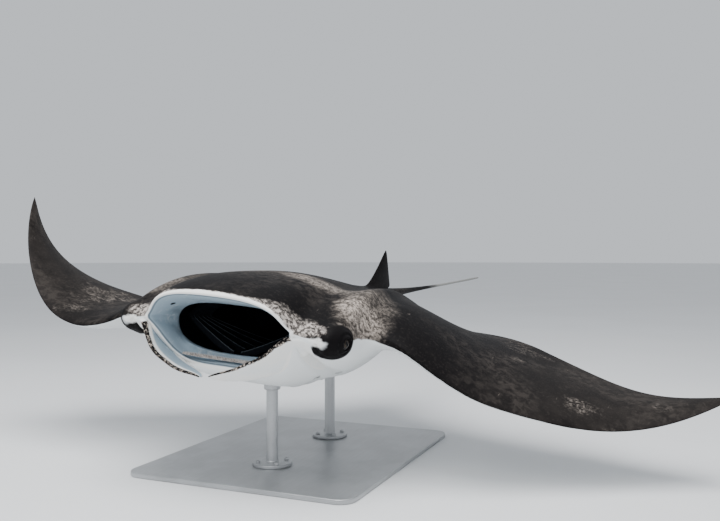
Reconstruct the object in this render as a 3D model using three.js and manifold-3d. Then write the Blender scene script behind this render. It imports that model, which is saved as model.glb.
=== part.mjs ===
// A reef manta ray, life size, swimming with its mouth open, on a display stand.
// Millimetres, +Z up. The head faces -Y and the animal's left side is +X.
// The origin is the middle of the stand's base, on the floor.

import * as THREE from 'three';
import { mergeVertices } from 'three/addons/utils/BufferGeometryUtils.js';
import Module from 'manifold-3d';

const wasm = await Module();
wasm.setup();

const { PI, abs, acos, atan2, cos, exp, hypot, max, min, sign, sin, sqrt } = Math;
const { clamp, degToRad, lerp, smoothstep } = THREE.MathUtils;

// ---------------------------------------------------------------- sizes

const RIDE_HEIGHT = 560;      // floor to the level of the wing roots
const BODY_BACK = 700;        // from the upper lip back to the middle of the stand
const BANK = degToRad(4.2);   // left side down
const GAP = 0.3;              // between pieces that touch

// Lines of half the body laid flat, from the midline out to the wing tip.
// The front edge is the upper lip and then the leading edge. The jaw edge lies below it
// and behind it, and the rear edge is the trailing edge.
const LINES = {
  row: ['midline', 'lip', 'lip bend', 'mouth corner', 'lobe root', 'eye', 'shoulder',
    'wing root', 'inner wing', 'middle wing', 'outer wing', 'tip'],
  frontX: [0, 150, 235, 289, 350, 418, 462, 640, 882, 1146, 1420, 1665],
  frontY: [0, 14, 38, 69, 100, 140, 330, 350, 408, 523, 664, 792],
  lipZ: [130, 117, 83, 24, 20, 18, 14, 8, 6, 4, 3, 1],
  jawZ: [-146, -142, -98, 2, -25, -35, -22, -8, -6, -4, -3, -1],
  jawBack: [150, 146, 105, 12, 4, 4, 4, 0, 0, 0, 0, 0],
  rearX: [0, 55, 112, 174, 233, 290, 345, 520, 783, 1076, 1390, 1665],
  rearY: [1636, 1575, 1516, 1470, 1430, 1394, 1358, 1238, 1106, 1021, 885, 797],
  trailZ: [48, 42, 34, 28, 20, 12, -21, -52, -24, 6, -6, 0],
  rise: [82, 86, 101, 126, 127, 132, 102, 68, 36, 28, 16, 0],
  drop: [142, 141, 143, 200, 145, 76, 50, 45, 28, 18, 10, 0],
};
const LAST_ROW = LINES.row.length - 1;
const ODD_LINES = ['frontX', 'rearX'];
const EDGE = 5;               // half the thickness just inside a fin's edge

// Dips of the back ahead of the dorsal fin and behind the shoulders
const BACK_DIPS = [
  { depth: 26, x: 0, y: 970, wide: 300, long: 250 },
  { depth: 18, x: 240, y: 620, wide: 110, long: 170 },
];
const WALL = 0.14;            // share of a section's ring on the front wall

// Bend of each wing along its span: it droops from the shoulder, then lifts to the tip,
// which curls up further. Twist noses the fin down, more or less so at the tip, sweep
// moves the tip back, and flex lifts the rear part of the fin.
const WINGS = {
  left: {
    droop: degToRad(20.8), droopFrom: 394, droopTo: 659,
    lift: degToRad(39.4), liftFrom: 870, liftTo: 1673, curl: 0,
    twist: degToRad(10.6), tipTwist: 1.9, sweep: 45, flex: 0.052,
  },
  right: {
    droop: degToRad(16), droopFrom: 420, droopTo: 660,
    lift: degToRad(73.1), liftFrom: 602, liftTo: 1524, curl: degToRad(22.9),
    twist: degToRad(5.9), tipTwist: -2, sweep: -142, flex: -0.055,
  },
};
const CURL = { from: 1300, to: 1680 };
const TWIST_AXIS_Y = 750;
const FLEX_FROM_Y = 500;
const METRE = 1000;
const SPINE_STEP = 10;

const BODY_STATIONS = 52;
const BODY_RING = 24;

// The mouth's hollow
const MOUTH = { front: -60, back: 660, halfWidth: 262, cheek: 24, roof: 108, floor: 112 };

// Where the body is parted
const NECK_Y = 320;
const JAW_LINE = { y: 69, z: -2, slope: -0.42 };
const TRUNK_HALF = 470;
const MID_WING = 860;
const OUTER_WING = 1270;

const ORBIT = { x: 386, y: 172, z: 0, rx: 52, ry: 84, rz: 54 };
const EYE = { x: 419, y: 156, z: -6, radius: 26 };

const LOBE = { width: 130, rootThick: 22, tipThick: 8, flareLeft: degToRad(30), flareRight: degToRad(4) };

const FIN = { front: 1372, tip: 1580, rear: 1642, z: 50, height: 218, thick: 32 };
const PELVIC = { x: 96, y: 1545, z: 24, length: 190, width: 96, thick: 16 };
const TAIL = { y: 1520, z: 46, length: 1620, rootRadius: 36, endRadius: 6.5, taper: 4 };
const TAIL_END = { side: 85, lift: 45 };
const TAIL_CUTS = [1900, 2450];

const TOOTH_BAND = { halfWidth: 185, thick: 9, deep: 22, y: 166, z: -116, sweep: 16, rise: 5 };

const BASE = { width: 900, length: 1100, thick: 18, corner: 60, bevel: 4 };
const ROD = { radius: 22, flangeRadius: 75, flangeThick: 12 };
const RODS = { front: 450, rear: 960 };

// ---------------------------------------------------------------- materials

function finish(color, roughness, metalness = 0) {
  return new THREE.MeshStandardMaterial({ color, roughness, metalness });
}
const BACK_SKIN = finish(0x231d1b, 0.55);
const LOBE_SKIN = finish(0x5a524d, 0.55);
const JAW_SKIN = finish(0xd9dcd8, 0.5);
const TOOTH = finish(0x9b918a, 0.6);
const EYE_GLOSS = finish(0x0a0908, 0.12);
const STEEL = finish(0x9da0a3, 0.35, 0.9);

// ---------------------------------------------------------------- solids

function toSolid(geometry) {
  const shape = geometry.index ? geometry.clone() : geometry;
  shape.deleteAttribute('normal');
  shape.deleteAttribute('uv');
  const merged = mergeVertices(shape, 1e-3);
  const vertProperties = new Float32Array(merged.attributes.position.array);
  const triVerts = new Uint32Array(merged.index.array);
  const mesh = new wasm.Mesh({ numProp: 3, vertProperties, triVerts });
  mesh.merge();
  return new wasm.Manifold(mesh);
}

function toGeometry(solid) {
  const { vertProperties, triVerts, numProp } = solid.getMesh();
  const geometry = new THREE.BufferGeometry();
  const positions = new Float32Array((vertProperties.length / numProp) * 3);
  for (let i = 0; i < positions.length / 3; i += 1) {
    positions.set(vertProperties.subarray(i * numProp, i * numProp + 3), i * 3);
  }
  geometry.setAttribute('position', new THREE.BufferAttribute(positions, 3));
  geometry.setIndex(new THREE.BufferAttribute(new Uint32Array(triVerts), 1));
  return geometry;
}

function piece(name, solid, material) {
  const geometry = toGeometry(solid);
  geometry.computeVertexNormals();
  const mesh = new THREE.Mesh(geometry, material);
  mesh.name = name;
  return mesh;
}

// Moves every vertex of a shape by a function of its place.
function displace(geometry, place) {
  const position = geometry.attributes.position;
  const vertex = new THREE.Vector3();
  for (let i = 0; i < position.count; i += 1) {
    vertex.fromBufferAttribute(position, i);
    const moved = place(vertex);
    position.setXYZ(i, moved.x, moved.y, moved.z);
  }
  return geometry;
}

// The solid grown outwards, for cutting a neighbour that has to stay clear of it. Each
// corner moves along the mean of its faces' directions, far enough to clear every one.
function swell(solid, by) {
  const geometry = mergeVertices(toGeometry(solid), 1e-3);
  const { position } = geometry.attributes;
  const corners = geometry.index.array;
  const facing = Array.from({ length: position.count }, () => []);
  const triangle = new THREE.Triangle();
  for (let i = 0; i < corners.length; i += 3) {
    triangle.setFromAttributeAndIndices(position, corners[i], corners[i + 1], corners[i + 2]);
    const normal = triangle.getNormal(new THREE.Vector3());
    for (const corner of corners.slice(i, i + 3)) facing[corner].push(normal);
  }
  const vertex = new THREE.Vector3();
  facing.forEach((normals, i) => {
    const mean = normals.reduce((sum, n) => sum.add(n), new THREE.Vector3()).normalize();
    const least = min(...normals.map((n) => n.dot(mean)));
    vertex.fromBufferAttribute(position, i).addScaledVector(mean, by / max(least, 0.3));
    position.setXYZ(i, vertex.x, vertex.y, vertex.z);
  });
  return toSolid(geometry);
}

// Half of space, as a big box on the side that the direction points to.
function halfSpace(point, direction) {
  const size = 8000;
  const box = new THREE.BoxGeometry(size, size, size);
  box.translate(0, 0, size / 2 + GAP / 2);
  const toward = direction.clone().normalize();
  const turn = new THREE.Quaternion().setFromUnitVectors(new THREE.Vector3(0, 0, 1), toward);
  box.applyQuaternion(turn);
  box.translate(point.x, point.y, point.z);
  return toSolid(box);
}

// The largest of the bodies that a cut leaves.
function mainBody(solid) {
  return solid.decompose().reduce((most, next) => (next.volume() > most.volume() ? next : most));
}

// Parts a solid in two with a thin cut: what lies ahead of the plane and what lies behind.
function part(solid, point, direction) {
  const ahead = solid.intersect(halfSpace(point, direction));
  const behind = solid.intersect(halfSpace(point, direction.clone().negate()));
  return [ahead, behind];
}

// ---------------------------------------------------------------- body

// A line's value at a station between the rows, on a Catmull-Rom spline that is
// mirrored at the midline.
function line(name, station) {
  const column = LINES[name];
  const row = min(Math.floor(station), LAST_ROW - 1);
  const f = station - row;
  const mirror = ODD_LINES.includes(name) ? -1 : 1;
  const beyond = 2 * column[LAST_ROW] - column[LAST_ROW - 1];
  const a = row === 0 ? mirror * column[1] : column[row - 1];
  const b = column[row];
  const c = column[row + 1];
  const d = row + 2 > LAST_ROW ? beyond : column[row + 2];
  return b + 0.5 * f * (c - a + f * (2 * a - 5 * b + 4 * c - d + f * (3 * (b - c) + d - a)));
}

// A hump from 0 to 1 and back as t goes from 0 to 1, with its own steepness at each end.
function hump(t, front, rear) {
  const top = front / (front + rear);
  return (clamp(t, 0, 1) / top) ** front * (clamp(1 - t, 0, 1) / (1 - top)) ** rear;
}

function backDip(x, y) {
  return BACK_DIPS.reduce((sum, dip) => {
    const across = (x - dip.x) / dip.wide;
    const along = (y - dip.y) / dip.long;
    return sum + dip.depth * exp(-across * across - along * along);
  }, 0);
}

// A point on the flat body. The turn runs from the rear edge at 0, over the back to the
// front at 1, and under the belly to the rear edge again at 2.
function flatBody(station, turn) {
  const frontX = line('frontX', station);
  const frontY = line('frontY', station);
  const rearX = line('rearX', station);
  const rearY = line('rearY', station);
  const lipZ = line('lipZ', station);
  const jawZ = line('jawZ', station);
  const jawBack = line('jawBack', station);
  const trailZ = line('trailZ', station);
  const edge = EDGE * min(1, (LAST_ROW - station) / 2);
  if (turn < 1 - WALL) {
    const t = (1 + cos((PI * turn) / (1 - WALL))) / 2;
    const round = edge * 2 * sqrt(t * (1 - t));
    const x = lerp(frontX, rearX, t);
    const y = lerp(frontY, rearY, t);
    const z = lerp(lipZ, trailZ, t) + line('rise', station) * hump(t, 0.8, 1.35) + round;
    return new THREE.Vector3(x, y, z - backDip(x, y) * (1 - t ** 8));
  }
  if (turn > 1 + WALL) {
    const t = (1 - cos((PI * (turn - 1 - WALL)) / (1 - WALL))) / 2;
    const round = edge * 2 * sqrt(t * (1 - t));
    const z = lerp(jawZ, trailZ, t) - line('drop', station) * hump(t, 0.72, 1.1) - round;
    return new THREE.Vector3(lerp(frontX, rearX, t), lerp(frontY + jawBack, rearY, t), z);
  }
  const v = (turn - 1 + WALL) / (2 * WALL);
  const blunt = jawBack > 50 ? 0.075 : 0.24;
  const nose = 4 * v * (1 - v) * abs(lipZ - jawZ) * blunt;
  return new THREE.Vector3(frontX, frontY + jawBack * v - nose, lerp(lipZ, jawZ, v));
}

function spanAngle(wing, span) {
  const droop = wing.droop * smoothstep(span, wing.droopFrom, wing.droopTo);
  const curl = wing.curl * smoothstep(span, CURL.from, CURL.to);
  return wing.lift * smoothstep(span, wing.liftFrom, wing.liftTo) + curl - droop;
}

// The middle line of a wing seen from ahead, added up in short steps along the span.
function spanCurve(wing) {
  const points = [new THREE.Vector2(0, 0)];
  for (let span = 0; span < 1760; span += SPINE_STEP) {
    const angle = spanAngle(wing, span + SPINE_STEP / 2);
    const last = points[points.length - 1];
    points.push(new THREE.Vector2(last.x + SPINE_STEP * cos(angle), last.y + SPINE_STEP * sin(angle)));
  }
  return points;
}
const SPANS = { left: spanCurve(WINGS.left), right: spanCurve(WINGS.right) };

function spanPoint(side, span) {
  const points = SPANS[side];
  const k = clamp(span / SPINE_STEP, 0, points.length - 1.001);
  const i = Math.floor(k);
  return points[i].clone().lerp(points[i + 1], k - i);
}

// Bends a point of the flat body into the pose.
function bend(point) {
  const side = point.x >= 0 ? 'left' : 'right';
  const wing = WINGS[side];
  const span = abs(point.x);
  const middle = spanPoint(side, span);
  const angle = spanAngle(wing, span);
  const tipTwist = lerp(1, wing.tipTwist, smoothstep(span, 1000, 1600));
  const twist = wing.twist * smoothstep(span, 450, 900) * tipTwist;
  const aft = max(0, point.y - FLEX_FROM_Y);
  const height = point.z + (wing.flex * smoothstep(span, 450, 900) * aft * aft) / METRE;
  const behind = point.y - TWIST_AXIS_Y;
  const z = height * cos(twist) + behind * sin(twist);
  const y = TWIST_AXIS_Y + behind * cos(twist) - height * sin(twist);
  const outward = side === 'left' ? 1 : -1;
  return new THREE.Vector3(
    outward * (middle.x - z * sin(angle)),
    y + wing.sweep * smoothstep(span, 600, 1600),
    middle.y + z * cos(angle),
  );
}

function buildBody() {
  const ball = new THREE.SphereGeometry(1, BODY_RING, BODY_STATIONS);
  ball.rotateZ(-PI / 2);
  const tip = flatBody(LAST_ROW, 0);
  return toSolid(displace(ball, (d) => {
    const outward = d.x >= 0 ? 1 : -1;
    const station = abs(1 - (2 * acos(clamp(d.x, -1, 1))) / PI) * LAST_ROW;
    if (station > LAST_ROW - 1e-6) return bend(new THREE.Vector3(outward * tip.x, tip.y, tip.z));
    const angle = atan2(d.z, d.y) / PI;
    const flat = flatBody(station, angle < 0 ? angle + 2 : angle);
    flat.x *= outward;
    return bend(flat);
  }));
}

function ellipsoid(at, rx, ry, rz, across, down) {
  const ball = new THREE.SphereGeometry(1, across, down);
  ball.rotateX(PI / 2);
  ball.scale(rx, ry, rz);
  ball.translate(at.x, at.y, at.z);
  return toSolid(ball);
}

const signedPower = (value, power) => sign(value) * abs(value) ** power;

// The hollow behind the lips: as wide as the gape, wider at the cheeks, closing at the throat.
function buildMouth() {
  const ball = new THREE.SphereGeometry(1, 24, 12);
  ball.rotateX(-PI / 2);
  return toSolid(displace(ball, (d) => {
    const share = acos(clamp(-d.y, -1, 1)) / PI;
    const y = lerp(MOUTH.front, MOUTH.back, (1 - cos(PI * share)) / 2);
    const reach = max(0, y - 250) / (MOUTH.back - 250);
    const open = share < 1e-6 ? 0 : sqrt(max(0, 1 - reach * reach));
    const ring = hypot(d.x, d.z) < 1e-6 ? 0 : atan2(d.z, d.x);
    const halfWidth = (MOUTH.halfWidth + MOUTH.cheek * smoothstep(y, 80, 220)) * open ** 0.8;
    const roof = MOUTH.roof + 10 * smoothstep(y, 60, 250);
    const floor = MOUTH.floor + 32 * smoothstep(y, 120, 300);
    const height = d.z > 0 ? roof : floor;
    const squareness = d.z > 0 ? 0.87 : 0.62;
    const x = halfWidth * signedPower(cos(ring), squareness);
    const z = height * open * signedPower(sin(ring), squareness);
    return new THREE.Vector3(x, y, z - 20 * (1 - open));
  }));
}

// ---------------------------------------------------------------- head pieces

// Front edges of the unfurled cephalic lobes, from the corners of the mouth down and in.
// The right lobe bulges further out than the left one.
const LOBE_EDGES = {
  left: [[290, 72, 27], [240, 68, -15], [187, 60, -61], [129, 53, -97], [69, 38, -124], [12, 14, -149]],
  right: [[304, 72, 27], [291, 68, -36], [251, 60, -92], [188, 53, -131], [106, 38, -148], [15, 14, -154]],
};

// A lobe flares outwards from its front edge towards the side of the jaw.
function buildLobe(outward) {
  const [side, flare] = outward > 0 ? ['left', LOBE.flareLeft] : ['right', LOBE.flareRight];
  const points = LOBE_EDGES[side].map(([x, y, z]) => new THREE.Vector3(outward * x, y, z));
  const edge = new THREE.CatmullRomCurve3(points);
  const ball = new THREE.SphereGeometry(1, 10, 14);
  ball.rotateX(PI / 2);
  return toSolid(displace(ball, (d) => {
    const along = clamp(acos(clamp(-d.z, -1, 1)) / PI, 0, 1);
    const start = edge.getPoint(along);
    const tangent = edge.getTangent(along);
    const away = new THREE.Vector3(-tangent.z * outward, 0, tangent.x * outward).normalize();
    const back = new THREE.Vector3(0, cos(flare), 0).addScaledVector(away, sin(flare));
    const normal = new THREE.Vector3().crossVectors(tangent, back).normalize();
    const ring = hypot(d.x, d.y);
    const roundEnds = sqrt(max(0, 1 - abs(2 * along - 1) ** 6));
    const width = LOBE.width * (1 - 0.7 * along ** 4) * roundEnds;
    const thick = lerp(LOBE.rootThick, LOBE.tipThick, along ** 0.7) * roundEnds;
    const across = ring < 1e-6 ? 0 : d.x / ring;
    const up = ring < 1e-6 ? 0 : d.y / ring;
    const place = start.clone().addScaledVector(back, (width * (1 + across)) / 2);
    return place.addScaledVector(normal, (thick / 2) * signedPower(up, 0.8));
  }));
}

function buildToothBand() {
  const { halfWidth, thick, deep, y, z, sweep, rise } = TOOTH_BAND;
  const strip = new THREE.BoxGeometry(2, deep, thick, 14, 2, 1);
  return toSolid(displace(strip, (p) => {
    const crown = p.z > 0 && p.y === 0 ? thick / 3 : 0;
    const s = p.x;
    return new THREE.Vector3(s * halfWidth, y - sweep * s * s + p.y, z + rise * s * s + p.z + crown);
  }));
}

// ---------------------------------------------------------------- fins and tail

function buildDorsalFin() {
  const ball = new THREE.SphereGeometry(1, 12, 9);
  ball.rotateX(PI / 2);
  return toSolid(displace(ball, (d) => {
    const up = acos(clamp(-d.z, -1, 1)) / PI;
    const ring = hypot(d.x, d.y);
    const across = ring < 1e-6 ? 0 : d.x / ring;
    const along = ring < 1e-6 ? 0 : d.y / ring;
    const ends = sqrt(max(0, 1 - abs(2 * up - 1) ** 8));
    const lead = lerp(FIN.front, FIN.tip, up ** 0.8);
    const rear = lerp(FIN.rear, FIN.tip + 14, up ** 1.4);
    const chord = (rear - lead) * ends;
    const thick = FIN.thick * (1 - 0.7 * up) * ends;
    const x = (across * thick) / 2;
    return new THREE.Vector3(x, rear - (chord * (1 - along)) / 2, FIN.z + FIN.height * up);
  }));
}

function buildPelvicFin(outward) {
  const ball = new THREE.SphereGeometry(1, 12, 8);
  ball.rotateX(-PI / 2);
  ball.scale(PELVIC.width / 2, PELVIC.length / 2, PELVIC.thick / 2);
  ball.rotateZ(outward * degToRad(-14));
  ball.translate(outward * PELVIC.x, PELVIC.y, PELVIC.z);
  return toSolid(ball);
}

function buildTail() {
  const { y, z, length, rootRadius, endRadius, taper } = TAIL;
  const rings = 20;
  const profile = [new THREE.Vector2(0, 0)];
  for (let i = 0; i <= rings; i += 1) {
    const s = i / rings;
    const radius = endRadius + (rootRadius - endRadius) * (1 - s) ** taper;
    profile.push(new THREE.Vector2(radius, s * length));
  }
  profile.push(new THREE.Vector2(0, length));
  const whip = new THREE.LatheGeometry(profile, 8);
  return toSolid(displace(whip, (p) => {
    const s = p.y / length;
    const x = p.x * (1 + 0.5 * (1 - s) ** 3) + TAIL_END.side * s * s;
    return new THREE.Vector3(x, y + p.y, z + p.z + TAIL_END.lift * s * s);
  }));
}

// ---------------------------------------------------------------- stand

function buildBase() {
  const { width, length, thick, corner, bevel } = BASE;
  const x = width / 2 - bevel;
  const y = length / 2 - bevel;
  const outline = new THREE.Shape();
  outline.moveTo(-x + corner, -y);
  outline.lineTo(x - corner, -y);
  outline.absarc(x - corner, -y + corner, corner, -PI / 2, 0);
  outline.absarc(x - corner, y - corner, corner, 0, PI / 2);
  outline.absarc(-x + corner, y - corner, corner, PI / 2, PI);
  outline.absarc(-x + corner, -y + corner, corner, PI, 1.5 * PI);
  const plate = new THREE.ExtrudeGeometry(outline, {
    depth: thick - 2 * bevel,
    bevelSize: bevel,
    bevelThickness: bevel,
    bevelSegments: 1,
    curveSegments: 4,
  });
  plate.translate(0, 0, bevel);
  return toSolid(plate);
}

function buildRod(y, height) {
  const foot = BASE.thick + GAP;
  const profile = [
    new THREE.Vector2(0, foot),
    new THREE.Vector2(ROD.flangeRadius, foot),
    new THREE.Vector2(ROD.flangeRadius, foot + ROD.flangeThick - 3),
    new THREE.Vector2(ROD.flangeRadius - 3, foot + ROD.flangeThick),
    new THREE.Vector2(ROD.radius, foot + ROD.flangeThick),
    new THREE.Vector2(ROD.radius, height),
    new THREE.Vector2(0, height),
  ];
  const rod = new THREE.LatheGeometry(profile, 20);
  rod.rotateX(PI / 2);
  rod.translate(0, y, 0);
  return toSolid(rod);
}

// ---------------------------------------------------------------- assembly

const X = new THREE.Vector3(1, 0, 0);
const Y = new THREE.Vector3(0, 1, 0);

// Everything of the animal sits in this pose: banked, and lifted over the stand.
const POSE = new THREE.Matrix4()
  .makeTranslation(0, -BODY_BACK, RIDE_HEIGHT)
  .multiply(new THREE.Matrix4().makeRotationY(BANK));

function pose(solid) {
  const geometry = toGeometry(solid);
  geometry.applyMatrix4(POSE);
  return toSolid(geometry);
}

function wingPlane(side, span) {
  const middle = spanPoint(side, span);
  const angle = spanAngle(WINGS[side], span);
  const outward = side === 'left' ? 1 : -1;
  return [
    new THREE.Vector3(outward * middle.x, 0, middle.y),
    new THREE.Vector3(outward * cos(angle), 0, sin(angle)),
  ];
}

const flesh = {};
let body = buildBody();
for (const outward of [1, -1]) {
  const at = new THREE.Vector3(outward * ORBIT.x, ORBIT.y, ORBIT.z);
  body = body.add(ellipsoid(at, ORBIT.rx, ORBIT.ry, ORBIT.rz, 12, 8));
}
const closedBody = body;
body = body.subtract(buildMouth());

const eyes = {};
for (const [side, outward] of [['left', 1], ['right', -1]]) {
  const at = new THREE.Vector3(outward * EYE.x, EYE.y, EYE.z);
  const { radius } = EYE;
  eyes[side] = ellipsoid(at, radius, radius, radius, 14, 10);
  const socket = radius + GAP;
  body = body.subtract(ellipsoid(at, socket, socket, socket, 14, 10));
}

const toothBand = buildToothBand();
const clearTeeth = swell(toothBand, GAP);
body = body.subtract(clearTeeth);

const [behindNeck, headWhole] = part(body, new THREE.Vector3(0, NECK_Y, 0), Y);
const jawPoint = new THREE.Vector3(0, JAW_LINE.y, JAW_LINE.z);
const jawUp = new THREE.Vector3(0, -JAW_LINE.slope, 1);
[flesh.head, flesh.lower_jaw] = part(headWhole, jawPoint, jawUp);

let trunk = behindNeck;
for (const [side, outward] of [['left', 1], ['right', -1]]) {
  const root = new THREE.Vector3(outward * TRUNK_HALF, 0, 0);
  const [wing, rest] = part(trunk, root, X.clone().multiplyScalar(outward));
  trunk = rest;
  const [beyondInner, inner] = part(wing, ...wingPlane(side, MID_WING));
  const [tip, middle] = part(beyondInner, ...wingPlane(side, OUTER_WING));
  flesh[`wing_${side}_inner`] = inner;
  flesh[`wing_${side}_middle`] = middle;
  flesh[`wing_${side}_tip`] = tip;
}
flesh.trunk = trunk;

const clearBody = swell(closedBody, GAP);
for (const [side, outward] of [['left', 1], ['right', -1]]) {
  const lobe = buildLobe(outward).subtract(clearBody).subtract(clearTeeth);
  flesh[`cephalic_lobe_${side}`] = mainBody(lobe);
}

const tail = mainBody(buildTail().subtract(clearBody));
const clearTail = swell(buildTail(), GAP);
flesh.dorsal_fin = mainBody(buildDorsalFin().subtract(clearBody).subtract(clearTail));
for (const [side, outward] of [['left', 1], ['right', -1]]) {
  const pelvicFin = buildPelvicFin(outward).subtract(clearBody).subtract(clearTail);
  flesh[`pelvic_fin_${side}`] = mainBody(pelvicFin);
}
const [beyondBase, tailBase] = part(tail, new THREE.Vector3(0, TAIL_CUTS[0], 0), Y);
const [tailTip, tailMiddle] = part(beyondBase, new THREE.Vector3(0, TAIL_CUTS[1], 0), Y);
flesh.tail_base = tailBase;
flesh.tail_middle = tailMiddle;
flesh.tail_tip = tailTip;

const model = new THREE.Group();
const animal = new THREE.Group();
animal.applyMatrix4(POSE);
model.add(animal);

const SKINS = { lower_jaw: JAW_SKIN, cephalic_lobe_left: LOBE_SKIN, cephalic_lobe_right: LOBE_SKIN };
for (const [name, solid] of Object.entries(flesh)) {
  animal.add(piece(name, solid, (SKINS[name] ?? BACK_SKIN).clone()));
}
animal.add(piece('tooth_band', toothBand, TOOTH));
animal.add(piece('eye_left', eyes.left, EYE_GLOSS.clone()));
animal.add(piece('eye_right', eyes.right, EYE_GLOSS.clone()));

model.add(piece('stand_base', buildBase(), STEEL.clone()));
const posedBody = pose(clearBody);
for (const [name, y] of Object.entries(RODS)) {
  const rod = mainBody(buildRod(y - BODY_BACK, RIDE_HEIGHT).subtract(posedBody));
  model.add(piece(`stand_rod_${name}`, rod, STEEL.clone()));
}

export default model;
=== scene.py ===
from math import acos, atan2, cos, exp, hypot, pi, radians, sin, sqrt

import bmesh
import bpy
from mathutils import Matrix, Vector, noise


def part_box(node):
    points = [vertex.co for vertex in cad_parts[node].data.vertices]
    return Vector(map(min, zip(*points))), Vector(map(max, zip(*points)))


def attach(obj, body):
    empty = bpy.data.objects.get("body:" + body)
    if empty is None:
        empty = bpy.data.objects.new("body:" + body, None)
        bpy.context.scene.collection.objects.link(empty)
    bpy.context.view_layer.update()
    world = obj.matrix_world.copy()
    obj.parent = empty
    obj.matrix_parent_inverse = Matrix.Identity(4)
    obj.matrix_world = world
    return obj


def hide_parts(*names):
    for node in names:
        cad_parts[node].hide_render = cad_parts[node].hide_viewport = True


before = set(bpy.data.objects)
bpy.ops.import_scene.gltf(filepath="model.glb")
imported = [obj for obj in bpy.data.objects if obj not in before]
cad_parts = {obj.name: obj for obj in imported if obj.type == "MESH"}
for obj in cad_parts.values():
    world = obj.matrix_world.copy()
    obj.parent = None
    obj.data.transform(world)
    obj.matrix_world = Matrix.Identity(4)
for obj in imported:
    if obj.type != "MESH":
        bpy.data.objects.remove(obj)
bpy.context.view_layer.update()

bl_info = {
    "name": "Reef Manta Ray",
    "version": (1, 0, 0),
    "blender": (4, 5, 0),
    "location": "3D View > Sidebar > Manta",
    "description": "Builds a life-size reef manta ray on a display stand, in a plain studio",
    "category": "Add Mesh",
}

# ------------------------------------------------------------------ the animal's lines
# Metres. The animal's own frame has the head at -Y, its left side at +X and the upper
# lip at the origin. A station runs from 0 at the midline to 11 at the wing tip.

LINES = {
    "front_x": (0, .150, .235, .289, .350, .418, .462, .640, .882, 1.146, 1.420, 1.665),
    "front_y": (0, .014, .038, .069, .100, .140, .330, .350, .408, .523, .664, .792),
    "lip_z": (.130, .117, .083, .024, .020, .018, .014, .008, .006, .004, .003, .001),
    "jaw_z": (-.146, -.142, -.098, .002, -.025, -.035, -.022, -.008, -.006, -.004, -.003, -.001),
    "jaw_back": (.150, .146, .105, .012, .004, .004, .004, 0, 0, 0, 0, 0),
    "rear_x": (0, .055, .112, .174, .233, .290, .345, .520, .783, 1.076, 1.390, 1.665),
    "rear_y": (1.636, 1.575, 1.516, 1.470, 1.430, 1.394, 1.358, 1.238, 1.106, 1.021, .885, .797),
    "trail_z": (.048, .042, .034, .028, .020, .012, -.021, -.052, -.024, .006, -.006, 0),
    "rise": (.082, .086, .101, .126, .127, .132, .102, .068, .036, .028, .016, 0),
    "drop": (.142, .141, .143, .200, .145, .076, .050, .045, .028, .018, .010, 0),
}
LAST = len(LINES["rise"]) - 1
ODD_LINES = ("front_x", "rear_x")
MOUTH_CORNER = 3
LOBE_ROOT = 4

# Mesh columns between one line and the next, and points round one section.
COLUMNS = (4, 3, 3, 4, 5, 8, 4, 4, 5, 4, 4)
RING = 40
WALL_STEPS = 3
WALL = 2 * WALL_STEPS / RING
EDGE = .005
BACK_HUMP = (.8, 1.35)
BELLY_HUMP = (.72, 1.1)

# Dips of the back ahead of the dorsal fin and behind the shoulders: depth, place and reach.
BACK_DIPS = ((.026, 0, .970, .300, .250), (.018, .240, .620, .110, .170))

# How each wing bends along its span, in degrees and metres.
WINGS = {
    1: dict(droop=20.8, droop_from=.394, droop_to=.659, lift=39.4, lift_from=.870, lift_to=1.673,
            curl=0, twist=10.6, tip_twist=1.9, sweep=.045, flex=.052),
    -1: dict(droop=16, droop_from=.420, droop_to=.660, lift=73.1, lift_from=.602, lift_to=1.524,
             curl=22.9, twist=5.9, tip_twist=-2, sweep=-.142, flex=-.055),
}
CURL_FROM, CURL_TO = 1.300, 1.680
TWIST_AXIS_Y = .750
FLEX_FROM_Y = .500
SPINE_STEP = .010
SPINE_END = 1.760

RIDE_HEIGHT = .560
BODY_BACK = .700
BANK = radians(4.2)
POSE = Matrix.Translation((0, -BODY_BACK, RIDE_HEIGHT)) @ Matrix.Rotation(BANK, 4, "Y")

ORBIT = (.386, .172, .000)
ORBIT_SIZE = Vector((.052, .084, .054))
EYE = (.419, .156, -.006)

# Front edges of the unfurled cephalic lobes, from the corners of the mouth down and in.
LOBE_EDGES = {
    1: ((.290, .072, .027), (.240, .068, -.015), (.187, .060, -.061), (.129, .053, -.097),
        (.069, .038, -.124), (.012, .014, -.149)),
    -1: ((.304, .072, .027), (.291, .068, -.036), (.251, .060, -.092), (.188, .053, -.131),
         (.106, .038, -.148), (.015, .014, -.154)),
}
LOBE_FLARE = {1: radians(30), -1: radians(4)}


def lerp(a, b, f):
    return a + (b - a) * f


def clamp(x, low=0.0, high=1.0):
    return min(max(x, low), high)


def smoothstep(x, low, high):
    t = clamp((x - low) / (high - low))
    return t * t * (3 - 2 * t)


def on_side(place, side):
    """A place on the animal's left, or its mirror image for a side of -1."""
    return Vector((side * place[0], place[1], place[2]))


def signed_power(value, power):
    return abs(value) ** power * (1 if value >= 0 else -1)


def spline(a, b, c, d, f):
    """A share of the way from b to c on a Catmull-Rom spline."""
    return b + .5 * f * (c - a + f * (2 * a - 5 * b + 4 * c - d + f * (3 * (b - c) + d - a)))


def line(name, station):
    """A line's value between its rows, on a spline mirrored at the midline."""
    column = LINES[name]
    row = min(int(station), LAST - 1)
    f = station - row
    mirror = -1 if name in ODD_LINES else 1
    a = mirror * column[1] if row == 0 else column[row - 1]
    b, c = column[row], column[row + 1]
    d = 2 * column[LAST] - column[LAST - 1] if row + 2 > LAST else column[row + 2]
    return spline(a, b, c, d, f)


def hump(t, front, rear):
    top = front / (front + rear)
    return (clamp(t) / top) ** front * (clamp(1 - t) / (1 - top)) ** rear


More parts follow.
